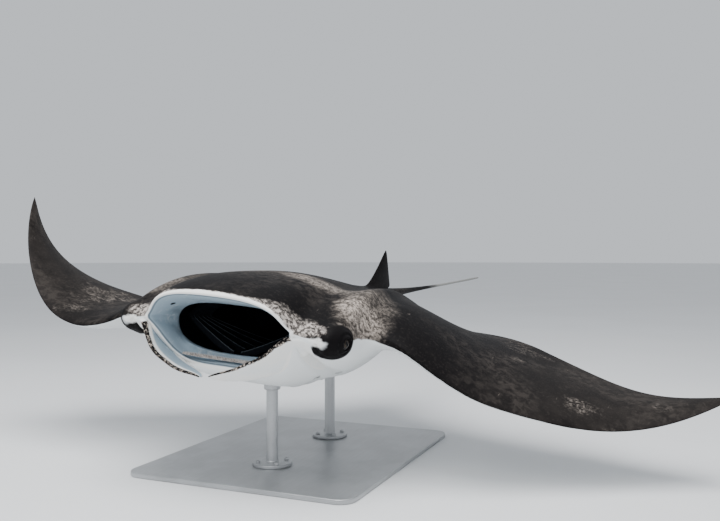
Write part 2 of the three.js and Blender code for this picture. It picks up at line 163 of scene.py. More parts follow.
def back_dip(x, y):
    return sum(depth * exp(-((x - at_x) / wide) ** 2 - ((y - at_y) / long) ** 2)
               for depth, at_x, at_y, wide, long in BACK_DIPS)


def flat_body(station, turn):
    """A point of the body laid flat, and its share of the way from front to rear.
    The turn is 0 at the rear edge, 1 at the front and 2 at the rear edge again, by the belly."""
    lip, jaw = line("lip_z", station), line("jaw_z", station)
    trail = line("trail_z", station)
    front_x, front_y = line("front_x", station), line("front_y", station)
    rear_x, rear_y = line("rear_x", station), line("rear_y", station)
    back = line("jaw_back", station)
    edge = EDGE * min(1, (LAST - station) / 2)
    if turn < 1 - WALL:
        t = (1 + cos(pi * turn / (1 - WALL))) / 2
        height = line("rise", station) * hump(t, *BACK_HUMP) + edge * 2 * sqrt(t * (1 - t))
        x, y = lerp(front_x, rear_x, t), lerp(front_y, rear_y, t)
        return Vector((x, y, lerp(lip, trail, t) + height - back_dip(x, y) * (1 - t ** 8))), t
    if turn > 1 + WALL:
        t = (1 - cos(pi * (turn - 1 - WALL) / (1 - WALL))) / 2
        depth = line("drop", station) * hump(t, *BELLY_HUMP) + edge * 2 * sqrt(t * (1 - t))
        y = lerp(front_y + back, rear_y, t)
        return Vector((lerp(front_x, rear_x, t), y, lerp(jaw, trail, t) - depth)), t
    v = (turn - 1 + WALL) / (2 * WALL)
    nose = 4 * v * (1 - v) * abs(lip - jaw) * (.075 if back > .05 else .24)
    return Vector((front_x, front_y + back * v - nose, lerp(lip, jaw, v))), 0


def span_angle(wing, span):
    droop = wing["droop"] * smoothstep(span, wing["droop_from"], wing["droop_to"])
    lift = wing["lift"] * smoothstep(span, wing["lift_from"], wing["lift_to"])
    return radians(lift + wing["curl"] * smoothstep(span, CURL_FROM, CURL_TO) - droop)


def span_curve(wing):
    points = [Vector((0, 0))]
    for step in range(int(SPINE_END / SPINE_STEP)):
        angle = span_angle(wing, (step + .5) * SPINE_STEP)
        points.append(points[-1] + SPINE_STEP * Vector((cos(angle), sin(angle))))
    return points


SPANS = {side: span_curve(wing) for side, wing in WINGS.items()}


def bend(point):
    """Bends a point of the flat body into the swimming pose."""
    side = 1 if point.x >= 0 else -1
    wing, points = WINGS[side], SPANS[side]
    span = abs(point.x)
    k = clamp(span / SPINE_STEP, 0, len(points) - 1.001)
    middle = points[int(k)].lerp(points[int(k) + 1], k - int(k))
    angle = span_angle(wing, span)
    twist = radians(wing["twist"]) * smoothstep(span, .450, .900)
    twist *= lerp(1, wing["tip_twist"], smoothstep(span, 1.000, 1.600))
    aft = max(0, point.y - FLEX_FROM_Y)
    height = point.z + wing["flex"] * smoothstep(span, .450, .900) * aft * aft
    behind = point.y - TWIST_AXIS_Y
    z = height * cos(twist) + behind * sin(twist)
    y = TWIST_AXIS_Y + behind * cos(twist) - height * sin(twist)
    y += wing["sweep"] * smoothstep(span, .600, 1.600)
    return Vector((side * (middle.x - z * sin(angle)), y, middle.y + z * cos(angle)))


def posed(point):
    return POSE @ bend(point)


# ------------------------------------------------------------------ settings

def length_property(name, description, metres):
    return bpy.props.FloatProperty(name=name, description=description, default=metres, unit="LENGTH")


def angle_property(name, description, degrees):
    return bpy.props.FloatProperty(
        name=name, description=description, default=radians(degrees), subtype="ANGLE")


def number_property(name, description, value, unit="NONE"):
    return bpy.props.FloatProperty(name=name, description=description, default=value, unit=unit)


def count_property(name, description, value, most):
    return bpy.props.IntProperty(name=name, description=description, default=value, min=1, max=most)


def colour_property(name, description, rgb):
    return bpy.props.FloatVectorProperty(
        name=name, description=description, default=rgb, subtype="COLOR", size=3, min=0, max=1)


class MantaSizes(bpy.types.PropertyGroup):
    """Sizes of the animal's features."""
    lip: length_property("Lip", "Thickness of the rim of the upper lip", .020)
    gape_width: length_property("Throat width", "Half the width of the opening behind the palate", .246)
    gape_roof: length_property("Throat roof", "Height of the palate's rear edge over its middle", .078)
    gape_floor: length_property("Throat floor", "Depth of the mouth's floor under its middle", .098)
    eye_radius: length_property("Eye", "Radius of the eyeball", .026)
    lobe_width: length_property("Lobe width", "Width of a cephalic lobe at its root", .130)
    gill_arches: count_property("Gill arches", "Arches on each side of the throat", 5, 7)
    tooth_rows: count_property("Tooth rows", "Rows of cusps across the tooth band", 4, 8)


class MantaColours(bpy.types.PropertyGroup):
    """Colours of the skin, the eyes and the stand."""
    back: colour_property("Back", "Darkest skin of the back", (.0040, .0034, .0038))
    back_worn: colour_property("Back, lighter", "Lighter mottling of the back", (.034, .029, .026))
    # Shoulder: the pale grey-brown of the shoulders, made brighter as painted sunlight.
    shoulder: colour_property("Shoulder", "Pale zone of the shoulders", (.49, .425, .37))
    belly: colour_property("Belly", "White skin below", (.80, .82, .82))
    # Belly margin: the real grey rear margin below, also used as painted shade round the gill slits.
    belly_grey_and_slit_shade: colour_property("Belly margin", "Grey rear margin below", (.16, .165, .175))
    lip: colour_property("Lip", "White rim of the mouth", (.86, .85, .82))
    # Palate: painted shade. The white lining of the mouth and of the lobes' inner faces is given blue-grey,
    # as seen in shade.
    palate: colour_property("Palate", "Blue-grey lining of the mouth", (.35, .44, .51))
    # Throat: painted shadow. Near-black stands in for the shade deep in the mouth, in the gill slits and on
    # the gill arches. It also colours a thin dark line and a small dark mark on the palate.
    throat: colour_property("Throat", "Nearly black lining behind the palate", (.006, .007, .009))
    gill: colour_property("Gill arch", "Pale front edges of the gill arches", (.085, .10, .11))
    frost: colour_property("Frosting", "Pale, worn skin beside the lips and over the eyes", (.50, .45, .41))
    # Tail end: painted sunlight, a pale far end on the dark tail.
    sunlit_tail_end: colour_property("Tail end", "Worn far end of the tail", (.27, .27, .26))
    gum: colour_property("Gum", "Grey-brown gum of the tooth band", (.17, .135, .12))
    tooth: colour_property("Cusp", "Pale tips of the teeth", (.66, .60, .55))
    iris: colour_property("Iris", "Dark iris of the eye", (.012, .009, .007))
    iris_streak: colour_property("Iris streaks", "Bronze streaks of the iris", (.050, .036, .024))
    pupil: colour_property("Pupil", "Slit pupil of the eye", (.001, .001, .001))
    steel: colour_property("Steel", "Satin steel of the stand", (.50, .51, .52))
    floor: colour_property("Floor", "Plain pale studio floor", (.74, .75, .76))


class MantaStage(bpy.types.PropertyGroup):
    """Camera and lights."""
    camera_at: bpy.props.FloatVectorProperty(
        name="Camera", description="Place of the camera", default=(1.479, -2.892, .819),
        subtype="TRANSLATION", unit="LENGTH")
    azimuth: angle_property("Azimuth", "Turn of the camera to the animal's right", 22.97)
    tilt: angle_property("Tilt", "How far the camera looks down", .61)
    lens: number_property("Lens", "Focal length for a 36 mm wide sensor", 40, "CAMERA")
    key: number_property("Key light", "Power of the key light", 330, "POWER")
    fill: number_property("Fill light", "Power of the fill light", 150, "POWER")
    sky: number_property("Room light", "Strength of the room's light", .80)


# ------------------------------------------------------------------ mesh helpers

def finished(name, mesh, material, slot, *replaced):
    """Links a finished mesh to the scene, rides it on the root, and hides the parts that it stands for."""
    mesh.materials.clear()
    mesh.materials.append(material)
    for polygon in mesh.polygons:
        polygon.use_smooth = True
    if name.startswith("stand_"):
        mesh.set_sharp_from_angle(angle=radians(35))
    piece = bpy.data.objects.new(name, mesh)
    bpy.context.scene.collection.objects.link(piece)
    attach(piece, "root")
    if replaced:
        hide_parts(*replaced)


def mesh_from(bm, name):
    bmesh.ops.recalc_face_normals(bm, faces=bm.faces)
    mesh = bpy.data.meshes.new(name)
    bm.to_mesh(mesh)
    bm.free()
    return mesh


def posed_mesh_from(bm, name):
    for vertex in bm.verts:
        vertex.co = posed(vertex.co)
    return mesh_from(bm, name)


def subdivided(mesh, levels):
    """The mesh after that many rounds of smooth subdivision, as a new mesh."""
    cage = bpy.data.objects.new(mesh.name + "_cage", mesh)
    bpy.context.scene.collection.objects.link(cage)
    smooth = cage.modifiers.new("Smooth", "SUBSURF")
    smooth.levels = levels
    smooth.render_levels = levels
    shaped = cage.evaluated_get(bpy.context.evaluated_depsgraph_get())
    fine = bpy.data.meshes.new_from_object(shaped)
    bpy.data.objects.remove(cage)
    bpy.data.meshes.remove(mesh)
    return fine


def verts_in(items):
    return [item for item in items if isinstance(item, bmesh.types.BMVert)]


def open_edges_in(items):
    return [item for item in items if isinstance(item, bmesh.types.BMEdge) and item.is_boundary]


def bevel(bm, edges, offset, segments):
    return bmesh.ops.bevel(bm, geom=edges, offset=offset, offset_type="OFFSET", segments=segments,
                           profile=.5, affect="EDGES", material=-1)


def linked(vertices):
    """Every vertex that can be reached from the given ones along edges."""
    whole, frontier = set(vertices), list(vertices)
    while frontier:
        for edge in frontier.pop().link_edges:
            for other in edge.verts:
                if other not in whole:
                    whole.add(other)
                    frontier.append(other)
    return list(whole)


# ------------------------------------------------------------------ skin

COLUMN_STATIONS = [row + step / count for row, count in enumerate(COLUMNS) for step in range(count)]
COLUMN_STATIONS.append(LAST)
HALF = len(COLUMN_STATIONS) - 1
FRONT = RING // 2
TOP_LIP = FRONT - WALL_STEPS
JAW = FRONT + WALL_STEPS


def column_of(station):
    return COLUMN_STATIONS.index(station)


def body_cage():
    """A ball with its poles at the wing tips, moved onto the flat body's lines. Returns it with
    a grid of its vertices by column, from wing tip to wing tip, and step round the section."""
    bm = bmesh.new()
    numbers, vectors = bm.verts.layers.float, bm.verts.layers.float_vector
    for name in ("under", "gape", "lobe", "chord", "lip"):
        numbers.new(name)
    for name in ("disc", "rim"):
        vectors.new(name)
    bmesh.ops.create_uvsphere(bm, u_segments=RING, v_segments=2 * HALF, radius=1)
    bmesh.ops.rotate(bm, verts=bm.verts, matrix=Matrix.Rotation(pi / 2, 3, "Y"))
    grid = {}
    for vertex in bm.verts:
        column = round((1 - 2 * acos(clamp(vertex.co.x, -1, 1)) / pi) * HALF)
        step = round(atan2(vertex.co.z, vertex.co.y) / pi * RING / 2) % RING
        if abs(column) == HALF:
            step = 0
        grid[column, step] = vertex
    for (column, step), vertex in grid.items():
        flat, share = flat_body(COLUMN_STATIONS[abs(column)], 2 * step / RING)
        flat.x *= 1 if column >= 0 else -1
        vertex.co = flat
        vertex[numbers["chord"]] = share
        vertex[numbers["under"]] = clamp((step - TOP_LIP) / (JAW - TOP_LIP)) if step else .5
    return bm, grid


def faces_between(bm, grid, columns, steps):
    """The faces of a block of the body's grid."""
    wanted = {grid[c, s % RING] for c in columns for s in steps if abs(c) < HALF}
    return [face for face in bm.faces if all(v in wanted for v in face.verts)]


def grow(bm, grid, columns, steps, rings):
    """Extrudes a block of the grid once for each ring. The block is mapped onto the unit disc,
    columns across and steps along, and each ring turns a place on the disc into one in space."""
    disc = bm.verts.layers.float_vector["disc"]
    for i, column in enumerate(columns):
        for j, step in enumerate(steps):
            a, b = 2 * i / (len(columns) - 1) - 1, 2 * j / (len(steps) - 1) - 1
            grid[column, step % RING][disc] = (a * sqrt(1 - b * b / 2), b * sqrt(1 - a * a / 2), 0)
    faces = faces_between(bm, grid, columns, steps)
    for place in rings:
        grown = bmesh.ops.extrude_face_region(bm, geom=faces)["geom"]
        leftover = [face for face in faces if face.is_valid]
        bmesh.ops.delete(bm, geom=leftover, context="FACES")
        faces = [item for item in grown if isinstance(item, bmesh.types.BMFace)]
        for vertex in verts_in(grown):
            vertex.co = place(vertex[disc].x, vertex[disc].y)


LOBE_STEPS = range(FRONT + 1, FRONT + 10)
LOBE_RINGS = (.10, .19, .28, .38, .48, .58, .68, .78, .87, .94, .985)
LOBE_ROOT_THICK, LOBE_TIP_THICK = .030, .014
LOBE_SWOLLEN_RINGS = 3


def grow_lobe(bm, grid, side):
    """Unfurls a cephalic lobe from the side of the head, beside the corner of the mouth."""
    lobe_width = bpy.context.scene.manta_sizes.lobe_width
    columns = [side * c for c in range(column_of(MOUTH_CORNER), column_of(LOBE_ROOT) + 1)]
    edge = [on_side(place, side) for place in LOBE_EDGES[side]]
    flare = LOBE_FLARE[side]
    final = len(edge) - 1

    def edge_point(along):
        k = along * final
        i = min(int(k), final - 1)
        return spline(edge[max(i - 1, 0)], edge[i], edge[i + 1], edge[min(i + 2, final)], k - i)

    def ring(along, ease):
        start = edge_point(along)
        tangent = (edge_point(min(along + .02, 1)) - edge_point(max(along - .02, 0))).normalized()
        away = Vector((-tangent.z * side, 0, tangent.x * side)).normalized()
        back = Vector((0, cos(flare), 0)) + sin(flare) * away
        outer = side * tangent.cross(back).normalized()
        ends = sqrt(max(0, 1 - abs(2 * along - 1) ** 8)) if along > .5 else 1
        width = lobe_width * (1 - .7 * along ** 4) * ends
        thick = lerp(LOBE_ROOT_THICK, LOBE_TIP_THICK, along ** .7) * ends * lerp(1.6, 1, ease)

        def place(across, chordwise):
            ripple = .003 * sin(along * 19) * max(0, -chordwise)
            swell = thick / 2 * signed_power(across, .6) * lerp(.75, 1, clamp(-chordwise))
            return start + back * width * (1 + signed_power(chordwise, .8)) / 2 + outer * (swell + ripple)
        return place

    before = set(bm.verts)
    rings = [ring(along, clamp((i + 1) / LOBE_SWOLLEN_RINGS)) for i, along in enumerate(LOBE_RINGS)]
    grow(bm, grid, columns, LOBE_STEPS, rings)
    numbers, disc = bm.verts.layers.float, bm.verts.layers.float_vector["disc"]
    for vertex in set(bm.verts) - before:
        inner, front, _ = vertex[disc]
        vertex[numbers["lobe"]] = 1 - .45 * (1 + front)
        vertex[numbers["gape"]] = .05 * clamp(.5 - inner) * clamp((.7 - front) / .4)
        vertex[numbers["chord"]] = 0


TAIL_Y, TAIL_Z = 1.520, .046
TAIL_LENGTH = 1.620
TAIL_ROOT, TAIL_END, TAIL_TAPER = .036, .0065, 4
TAIL_SIDE, TAIL_LIFT = .085, .045
TAIL_FIRST_RING, TAIL_RINGS = 1.648, 22
TAIL_BULGE_FROM, TAIL_BULGE_TO, TAIL_BULGE_SIDE = 1.33, 1.58, .075


def tail_section(y):
    """Half the tail's height and half its width at a place along it."""
    s = clamp((y - TAIL_Y) / TAIL_LENGTH)
    radius = TAIL_END + (TAIL_ROOT - TAIL_END) * (1 - s) ** TAIL_TAPER
    return radius, radius * (1 + .5 * (1 - s) ** 3)


def swell_tail_root(grid):
    """Raises the body over and under the root of the tail."""
    for (_, step), vertex in grid.items():
        x, y, z = vertex.co
        if abs(x) > TAIL_BULGE_SIDE or y < TAIL_BULGE_FROM:
            continue
        radius, wide = tail_section(y)
        share = smoothstep(y, TAIL_BULGE_FROM, TAIL_BULGE_TO)
        bulge = sqrt(max(0, 1 - (x / (wide * 1.15)) ** 2)) * radius * share
        if 0 < step < FRONT:
            vertex.co.z = max(z, lerp(z, TAIL_Z + bulge, .92 * share))
        elif step > FRONT:
            vertex.co.z = min(z, lerp(z, TAIL_Z - bulge, .92 * share))


def grow_tail(bm, grid):
    def ring(y):
        s = (y - TAIL_Y) / TAIL_LENGTH
        radius, wide = tail_section(y)
        middle = Vector((TAIL_SIDE * s * s, y, TAIL_Z + TAIL_LIFT * s * s))
        return lambda a, b: middle + Vector((wide * a, 0, radius * b))

    shares = [(i / TAIL_RINGS) ** 1.15 for i in range(TAIL_RINGS + 1)]
    rings = [ring(lerp(TAIL_FIRST_RING, TAIL_Y + TAIL_LENGTH, share)) for share in shares]
    grow(bm, grid, range(-3, 4), range(-1, 2), rings)


FIN_FRONT, FIN_TIP, FIN_REAR = 1.372, 1.580, 1.642
FIN_TOP, FIN_THICK = .268, .032
FIN_RINGS = (.05, .13, .24, .38, .52, .66, .79, .90, .97, .999)


def fin_foot(y):
    """Height of the middle of the back, or of the tail's root, under the dorsal fin."""
    t = clamp((y - line("front_y", 0)) / (line("rear_y", 0) - line("front_y", 0)))
    back = lerp(line("lip_z", 0), line("trail_z", 0), t) + line("rise", 0) * hump(t, *BACK_HUMP)
    return max(back, TAIL_Z + .9 * tail_section(y)[0])


def grow_dorsal_fin(bm, grid):
    def ring(up):
        lead = lerp(FIN_FRONT, FIN_TIP, up ** .8)
        rear = lerp(FIN_REAR, FIN_TIP + .014, up ** 1.4)
        ends = sqrt(1 - up ** 14)
        half = (rear - lead) / 2 * ends * lerp(1.42, 1.2, up)
        thick = FIN_THICK * 1.15 * (1 - .7 * up) * ends

        def place(a, b):
            y = (rear + lead) / 2 - half * b
            return Vector((a * thick / 2, y, lerp(fin_foot(y), FIN_TOP, up)))
        return place

    grow(bm, grid, range(-1, 2), range(1, 6), [ring(up) for up in FIN_RINGS])


PELVIC_FOOT = (.096, 1.545, .024)
PELVIC_LENGTH, PELVIC_WIDTH, PELVIC_THICK = .190, .096, .016
PELVIC_SPLAY = radians(14)
PELVIC_RINGS = (.22, .42, .62, .80, .93, .985)
PELVIC_COLUMNS = range(column_of(1), column_of(1) + 5)


def grow_pelvic_fin(bm, grid, side):
    columns = [side * c for c in PELVIC_COLUMNS]
    foot = on_side(PELVIC_FOOT, side)
    turn = Matrix.Rotation(-side * PELVIC_SPLAY, 3, "Z")

    def ring(v):
        wide = side * PELVIC_WIDTH / 2 * sqrt(max(0, 1 - v ** 4)) * lerp(1, .94, v)
        thick = PELVIC_THICK / 2 * (1 - .6 * v)
        return lambda a, b: foot + turn @ Vector((a * wide, v * PELVIC_LENGTH / 2, b * thick))

    grow(bm, grid, columns, range(-1, 2), [ring(v) for v in PELVIC_RINGS])


MOUTH_SIDE, MOUTH_TOP, MOUTH_BOTTOM = .289, .130, .150
MOUTH_MIDDLE_Z = .008
THROAT_FROM, THROAT_BACK, THROAT_Z = .250, .660, -.012
THROAT_SIDE, THROAT_TOP, THROAT_BOTTOM = .274, .112, .128
THROAT_RINGS = (.235, .300, .380, .460, .530, .590, .635)
# Rings of the lips and the palate: depth in the mouth, inset in lips' thicknesses, move
# back, and share of the way to the edge of the throat.
LIP_RINGS = (
    (.004, .30, -.006, 0), (.012, .78, -.001, 0), (.022, 1, .012, 0),
    (.045, 1.05, .032, .12), (.090, 1.1, .030, .50), (.140, 1.1, .030, .84),
)
# Rings at the edge of the throat: depth in the mouth and move back.
EDGE_RINGS = ((.165, -.004), (.180, .012))


def throat_place(y, angle):
    """A place on the throat's wall, at an angle round its axis."""
    sizes = bpy.context.scene.manta_sizes
    reach = max(0, y - THROAT_FROM) / (THROAT_BACK - THROAT_FROM)
    opening = sqrt(max(0, 1 - reach * reach))
    wide = lerp(sizes.gape_width, THROAT_SIDE, smoothstep(y, .19, .26)) * opening ** .8
    if sin(angle) > 0:
        height, square = lerp(sizes.gape_roof, THROAT_TOP, smoothstep(y, .17, .26)), .86
    else:
        height, square = lerp(sizes.gape_floor, THROAT_BOTTOM, smoothstep(y, .20, .32)), .70
    z = height * opening * signed_power(sin(angle), square) + THROAT_Z * (1 - opening)
    return Vector((wide * signed_power(cos(angle), square), y, z))


def throat_edge(angle):
    return throat_place(.165 + .035 * abs(cos(angle)) + .020 * max(0, -sin(angle)), angle)


def inside_lip(start, by, back):
    """A place on the inner side of the lip that starts at a point of the mouth's rim."""
    toward = Vector((-.8 * start.x, 0, MOUTH_MIDDLE_Z - start.z))
    return start + toward.normalized() * by + Vector((0, back, 0))


def open_mouth(bm, grid):
    """Opens the mouth, and notes each rim vertex's place and its angle round the mouth."""
    numbers, vectors = bm.verts.layers.float, bm.verts.layers.float_vector
    corner = column_of(MOUTH_CORNER)
    columns = range(-corner, corner + 1)
    opening = faces_between(bm, grid, columns, range(TOP_LIP, JAW + 1))
    bmesh.ops.delete(bm, geom=opening, context="FACES")
    loop = [edge for edge in bm.edges if edge.is_boundary]
    for vertex in {vertex for edge in loop for vertex in edge.verts}:
        x, _, z = vertex.co
        height = MOUTH_TOP if z > MOUTH_MIDDLE_Z else MOUTH_BOTTOM
        vertex[vectors["rim"]] = vertex.co.copy()
        vertex[vectors["disc"]] = (atan2((z - MOUTH_MIDDLE_Z) / height, x / MOUTH_SIDE), 0, 0)
        vertex[numbers["lip"]] = 1
        vertex[numbers["gape"]] = 0
    for column in columns:
        for step in (TOP_LIP - 1, JAW + 1):
            grid[column, step][numbers["lip"]] = .45
    return loop


def line_mouth(bm, grid):
    """Extrudes the mouth's rim into lips, palate and throat."""
    lip_thick = bpy.context.scene.manta_sizes.lip
    loop = open_mouth(bm, grid)
    numbers, vectors = bm.verts.layers.float, bm.verts.layers.float_vector

    def lip_ring(inset, back, share):
        return lambda rim, angle: inside_lip(rim, lip_thick * inset, back).lerp(throat_edge(angle), share)

    def edge_ring(back):
        return lambda rim, angle: throat_edge(angle) + Vector((0, back, 0))

    def throat_ring(y):
        return lambda rim, angle: throat_place(y, angle)

    rings = [(depth, lip_ring(*shape)) for depth, *shape in LIP_RINGS]
    rings += [(depth, edge_ring(back)) for depth, back in EDGE_RINGS]
    rings += [(y, throat_ring(y)) for y in THROAT_RINGS]
    for depth, place in rings:
        loop = open_edges_in(bmesh.ops.extrude_edge_only(bm, edges=loop)["geom"])
        last = {vertex for edge in loop for vertex in edge.verts}
        for vertex in last:
            vertex.co = place(vertex[vectors["rim"]], vertex[vectors["disc"]].x)
            vertex[numbers["gape"]] = depth
            vertex[numbers["lip"]] = 1 if depth < .015 else 0
    bmesh.ops.pointmerge(bm, verts=list(last), merge_co=(0, THROAT_BACK - .004, THROAT_Z))


def push_out(point, centre, size, blend=.35):
    """Swells the skin over an ellipsoid that lies just under it."""
    offset = point - centre
    q = Vector((offset.x / size.x, offset.y / size.y, offset.z / size.z)).length
    if q > 1 + blend or q < .05:
        return point
    mix = clamp((1 + blend - q) / blend)
    soft = max(q, 1) + .06 * mix * mix
    return centre + offset * lerp(1, soft / q, smoothstep(q, .05, .5))


def ridge(x, middle, width):
    return exp(-((x - middle) / width) ** 2)


def lid_relief(point, eye, side):
    """Socket and lids round the eye, as a move outwards along X."""
    if (point.x - eye.x) * side < -.012:
        return 0
    rho = hypot(point.y - eye.y, (point.z - eye.z) * 1.12)
    rho /= bpy.context.scene.manta_sizes.eye_radius
    lids = .0065 * ridge(rho, 1.0, .24) + .0030 * ridge(rho, 1.75, .22)
    return lids - .0022 * ridge(rho, 1.38, .16) - .016 * (1 - smoothstep(rho, .45, .92))


GILL_FIRST, GILL_STEP, GILL_COUNT = .395, .092, 5
GILL_MIDDLE = .17


def gill_row(span, y):
    """How far along the row of gill slits a place of the belly lies."""
    offset = span - GILL_MIDDLE
    return (y + .28 * offset + 2.2 * offset * offset - GILL_FIRST) / GILL_STEP


def gill_share(span, taper):
    """How far along its slit a place lies, from 0 at the inner end to 1 at the outer."""
    inner, outer = lerp(.095, .080, taper), lerp(.262, .205, taper)
    return (span - inner) / (outer - inner)


def gill_relief(span, y):
    place = gill_row(span, y)
    along = gill_share(span, clamp(place / GILL_COUNT))
    if not (-.6 < place < GILL_COUNT - .3 and 0 < along < 1):
        return 0
    step = (place + .5) % 1 - .5
    window = smoothstep(along, 0, .25) * (1 - smoothstep(along, .75, 1))
    return window * (.006 * ridge(step, -.16, .16) - .007 * ridge(step, .03, .09))


def fine_relief(point, normal):
    """Small forms on the flat, finely divided skin."""
    side = 1 if point.x >= 0 else -1
    eye = on_side(EYE, side)
    point = push_out(point, on_side(ORBIT, side), ORBIT_SIZE)
    if (point - eye).length < .075:
        point = point + Vector((side * lid_relief(point, eye, side), 0, 0))
    if normal.z < -.5 and .2 < point.y < 1:
        point = point - Vector((0, 0, gill_relief(abs(point.x), point.y)))
    return point


def lay_flat_skin():
    bm, grid = body_cage()
    swell_tail_root(grid)
    for side in (1, -1):
        grow_lobe(bm, grid, side)
        grow_pelvic_fin(bm, grid, side)
    grow_tail(bm, grid)
    grow_dorsal_fin(bm, grid)
    line_mouth(bm, grid)
    return subdivided(mesh_from(bm, "manta_skin"), 2)


def pose_skin(mesh):
    """Adds the small forms, notes each vertex's flat place, and bends it into the pose."""
    places = [fine_relief(vertex.co.copy(), vertex.normal) for vertex in mesh.vertices]
    mesh.attributes.new("flat", "FLOAT_VECTOR", "POINT")
    flat = mesh.attributes["flat"].data
    for vertex, place in zip(mesh.vertices, places):
        flat[vertex.index].vector = place
        vertex.co = posed(place)
    mesh.update()
    return mesh


# ------------------------------------------------------------------ materials

class Wire:
    """A number that one node hands to the next. A sum with it adds a node."""

    def __init__(self, recipe, socket):
        self.recipe = recipe
        self.socket = socket

    def __add__(self, other):
        return self.recipe.math("ADD", self, other)

    def __sub__(self, other):
        return self.recipe.math("SUBTRACT", self, other)

    def __rsub__(self, other):
        return self.recipe.math("SUBTRACT", other, self)

    def __mul__(self, other):
        return self.recipe.math("MULTIPLY", self, other)

    def __truediv__(self, other):
        return self.recipe.math("DIVIDE", self, other)

    __radd__ = __add__
    __rmul__ = __mul__


class Recipe:
    """A material whose nodes are added one at a time."""

    def __init__(self, name):
        self.colours = bpy.context.scene.manta_colours
        self.material = bpy.data.materials.new(name)
        self.material.use_nodes = True
        self.nodes = self.material.node_tree.nodes
        self.links = self.material.node_tree.links
        self.shader = next(n for n in self.nodes if n.type == "BSDF_PRINCIPLED")

    def feed(self, socket, value):
        """Links a wire or a node's output to a socket, or sets the socket's own value."""
        value = getattr(value, "socket", value)
        if isinstance(value, bpy.types.NodeSocket):
            self.links.new(value, socket)
        else:
            socket.default_value = value

    def set(self, **sockets):
        for name, value in sockets.items():
            self.feed(self.shader.inputs[name.replace("_", " ")], value)
        return self.material

    def node(self, kind, inputs, **settings):
        node = self.nodes.new(kind)
        for name, value in settings.items():
            setattr(node, name, value)
        for key, value in inputs.items():
            self.feed(node.inputs[key], value)
        return node

    def math(self, operation, a, b=0.0, clamped=False):
        node = self.node("ShaderNodeMath", {0: a, 1: b}, operation=operation, use_clamp=clamped)
        return Wire(self, node.outputs[0])

    def vector_math(self, operation, a, b=(0, 0, 0)):
        return self.node("ShaderNodeVectorMath", {0: a, 1: b}, operation=operation).outputs

    def scaled(self, place, scale):
        return self.vector_math("MULTIPLY", place, scale)[0]

    def distance(self, place, centre, scale=(1, 1, 1)):
        """Distance from a centre, with a scale along each axis."""
        away = self.scaled(self.vector_math("SUBTRACT", place, centre)[0], scale)
        return Wire(self, self.vector_math("LENGTH", away)["Value"])

    def step(self, value, low, high):
        """0 below low, 1 above high, and smooth between. Low may be above high."""
        rising = low <= high
        node = self.node("ShaderNodeMapRange", {
            "Value": value, "From Min": min(low, high), "From Max": max(low, high),
            "To Min": 0.0 if rising else 1.0, "To Max": 1.0 if rising else 0.0,
        }, interpolation_type="SMOOTHSTEP")
        return Wire(self, node.outputs[0])

    def mix(self, share, a, b):
        node = self.node("ShaderNodeMix", {0: share}, data_type="RGBA")
        for index, colour in ((6, a), (7, b)):
            plain = not isinstance(colour, bpy.types.NodeSocket)
            self.feed(node.inputs[index], (*colour, 1) if plain else colour)
        return node.outputs[2]

    def noise(self, place, scale, detail, roughness, distortion=0.0):
        node = self.node("ShaderNodeTexNoise", {
            "Vector": place, "Scale": scale, "Detail": detail, "Roughness": roughness,
            "Distortion": distortion})
        return Wire(self, node.outputs[0])

    def cells(self, place, scale):
        """Distance to the nearest cell's middle, and two chance numbers of that cell."""
        cell = self.node("ShaderNodeTexVoronoi", {"Vector": place, "Scale": scale}).outputs
        chance = self.node("ShaderNodeSeparateColor", {0: cell["Color"]}).outputs
        return [Wire(self, socket) for socket in (cell["Distance"], chance[0], chance[1])]

    def number(self, name):
        """An attribute of the mesh that is a number."""
        return Wire(self, self.node("ShaderNodeAttribute", {}, attribute_name=name).outputs["Fac"])

    def place(self, name):
        """An attribute of the mesh that is a place."""
        return self.node("ShaderNodeAttribute", {}, attribute_name=name).outputs["Vector"]

    def object_place(self):
        return self.node("ShaderNodeTexCoord", {}).outputs["Object"]

    def axes(self, place):
        return [Wire(self, axis) for axis in self.node("ShaderNodeSeparateXYZ", {0: place}).outputs]

    def joined(self, x, y, z=0.0):
        return self.node("ShaderNodeCombineXYZ", {0: x, 1: y, 2: z}).outputs[0]

    def bump(self, height, distance, strength, onto=None):
        node = self.node("ShaderNodeBump", {"Height": height, "Distance": distance, "Strength": strength})
        if onto is not None:
            self.links.new(onto, node.inputs["Normal"])
        return node.outputs[0]


def ragged(value, texture, amount):
    """A number made uneven by a texture about its middle."""
    return value + (texture - .5) * amount


def shade(colour, share):
    return [channel * share for channel in colour]


class SkinRecipe(Recipe):
    """The skin's material, with the places and textures that its markings share."""

    def __init__(self):
        super().__init__("manta_skin")
        self.flat = self.place("flat")
        self.x, self.y, self.z = self.axes(self.flat)
        self.span = self.math("ABSOLUTE", self.x)
        self.half = self.joined(self.span, self.y, self.z)
        self.under = self.number("under")
        self.gape = self.number("gape")
        self.lobe = self.number("lobe")
        self.lip = self.number("lip")
        self.chord = self.number("chord")
        self.mottle = self.noise(self.flat, 11, 6, .62, .3)
        self.grain = self.noise(self.flat, 34, 5, .65, .5)
        self.fleck = self.noise(self.flat, 95, 5, .70, .15)
        self.fine = self.noise(self.flat, 260, 3, .5)


# Pale zones of the shoulders: centre, scale and strength.
SHOULDER_ZONES = (
    ((.400, .310, .08), (10.5, 6.8, .6), 1.0),
    ((.385, .420, .10), (8.5, 5.4, .4), .40),
    ((.180, .425, .15), (4.4, 9.5, .4), .62),
)
# Markings of the head: centre and scale.
EYE_KNOB = ((.388, .158, -.006), (11, 13.5, 17))
WHITE_PATCH = ((.366, .100, -.002), (28, 24, 50))
BROW = ((.335, .105, .034), (15, 20, 34))
BIRTHMARK = (-.215, .120, .067)
# Heights between which the mouth's side wall turns into its floor.
MOUTH_FLOOR = (-.055, -.085)


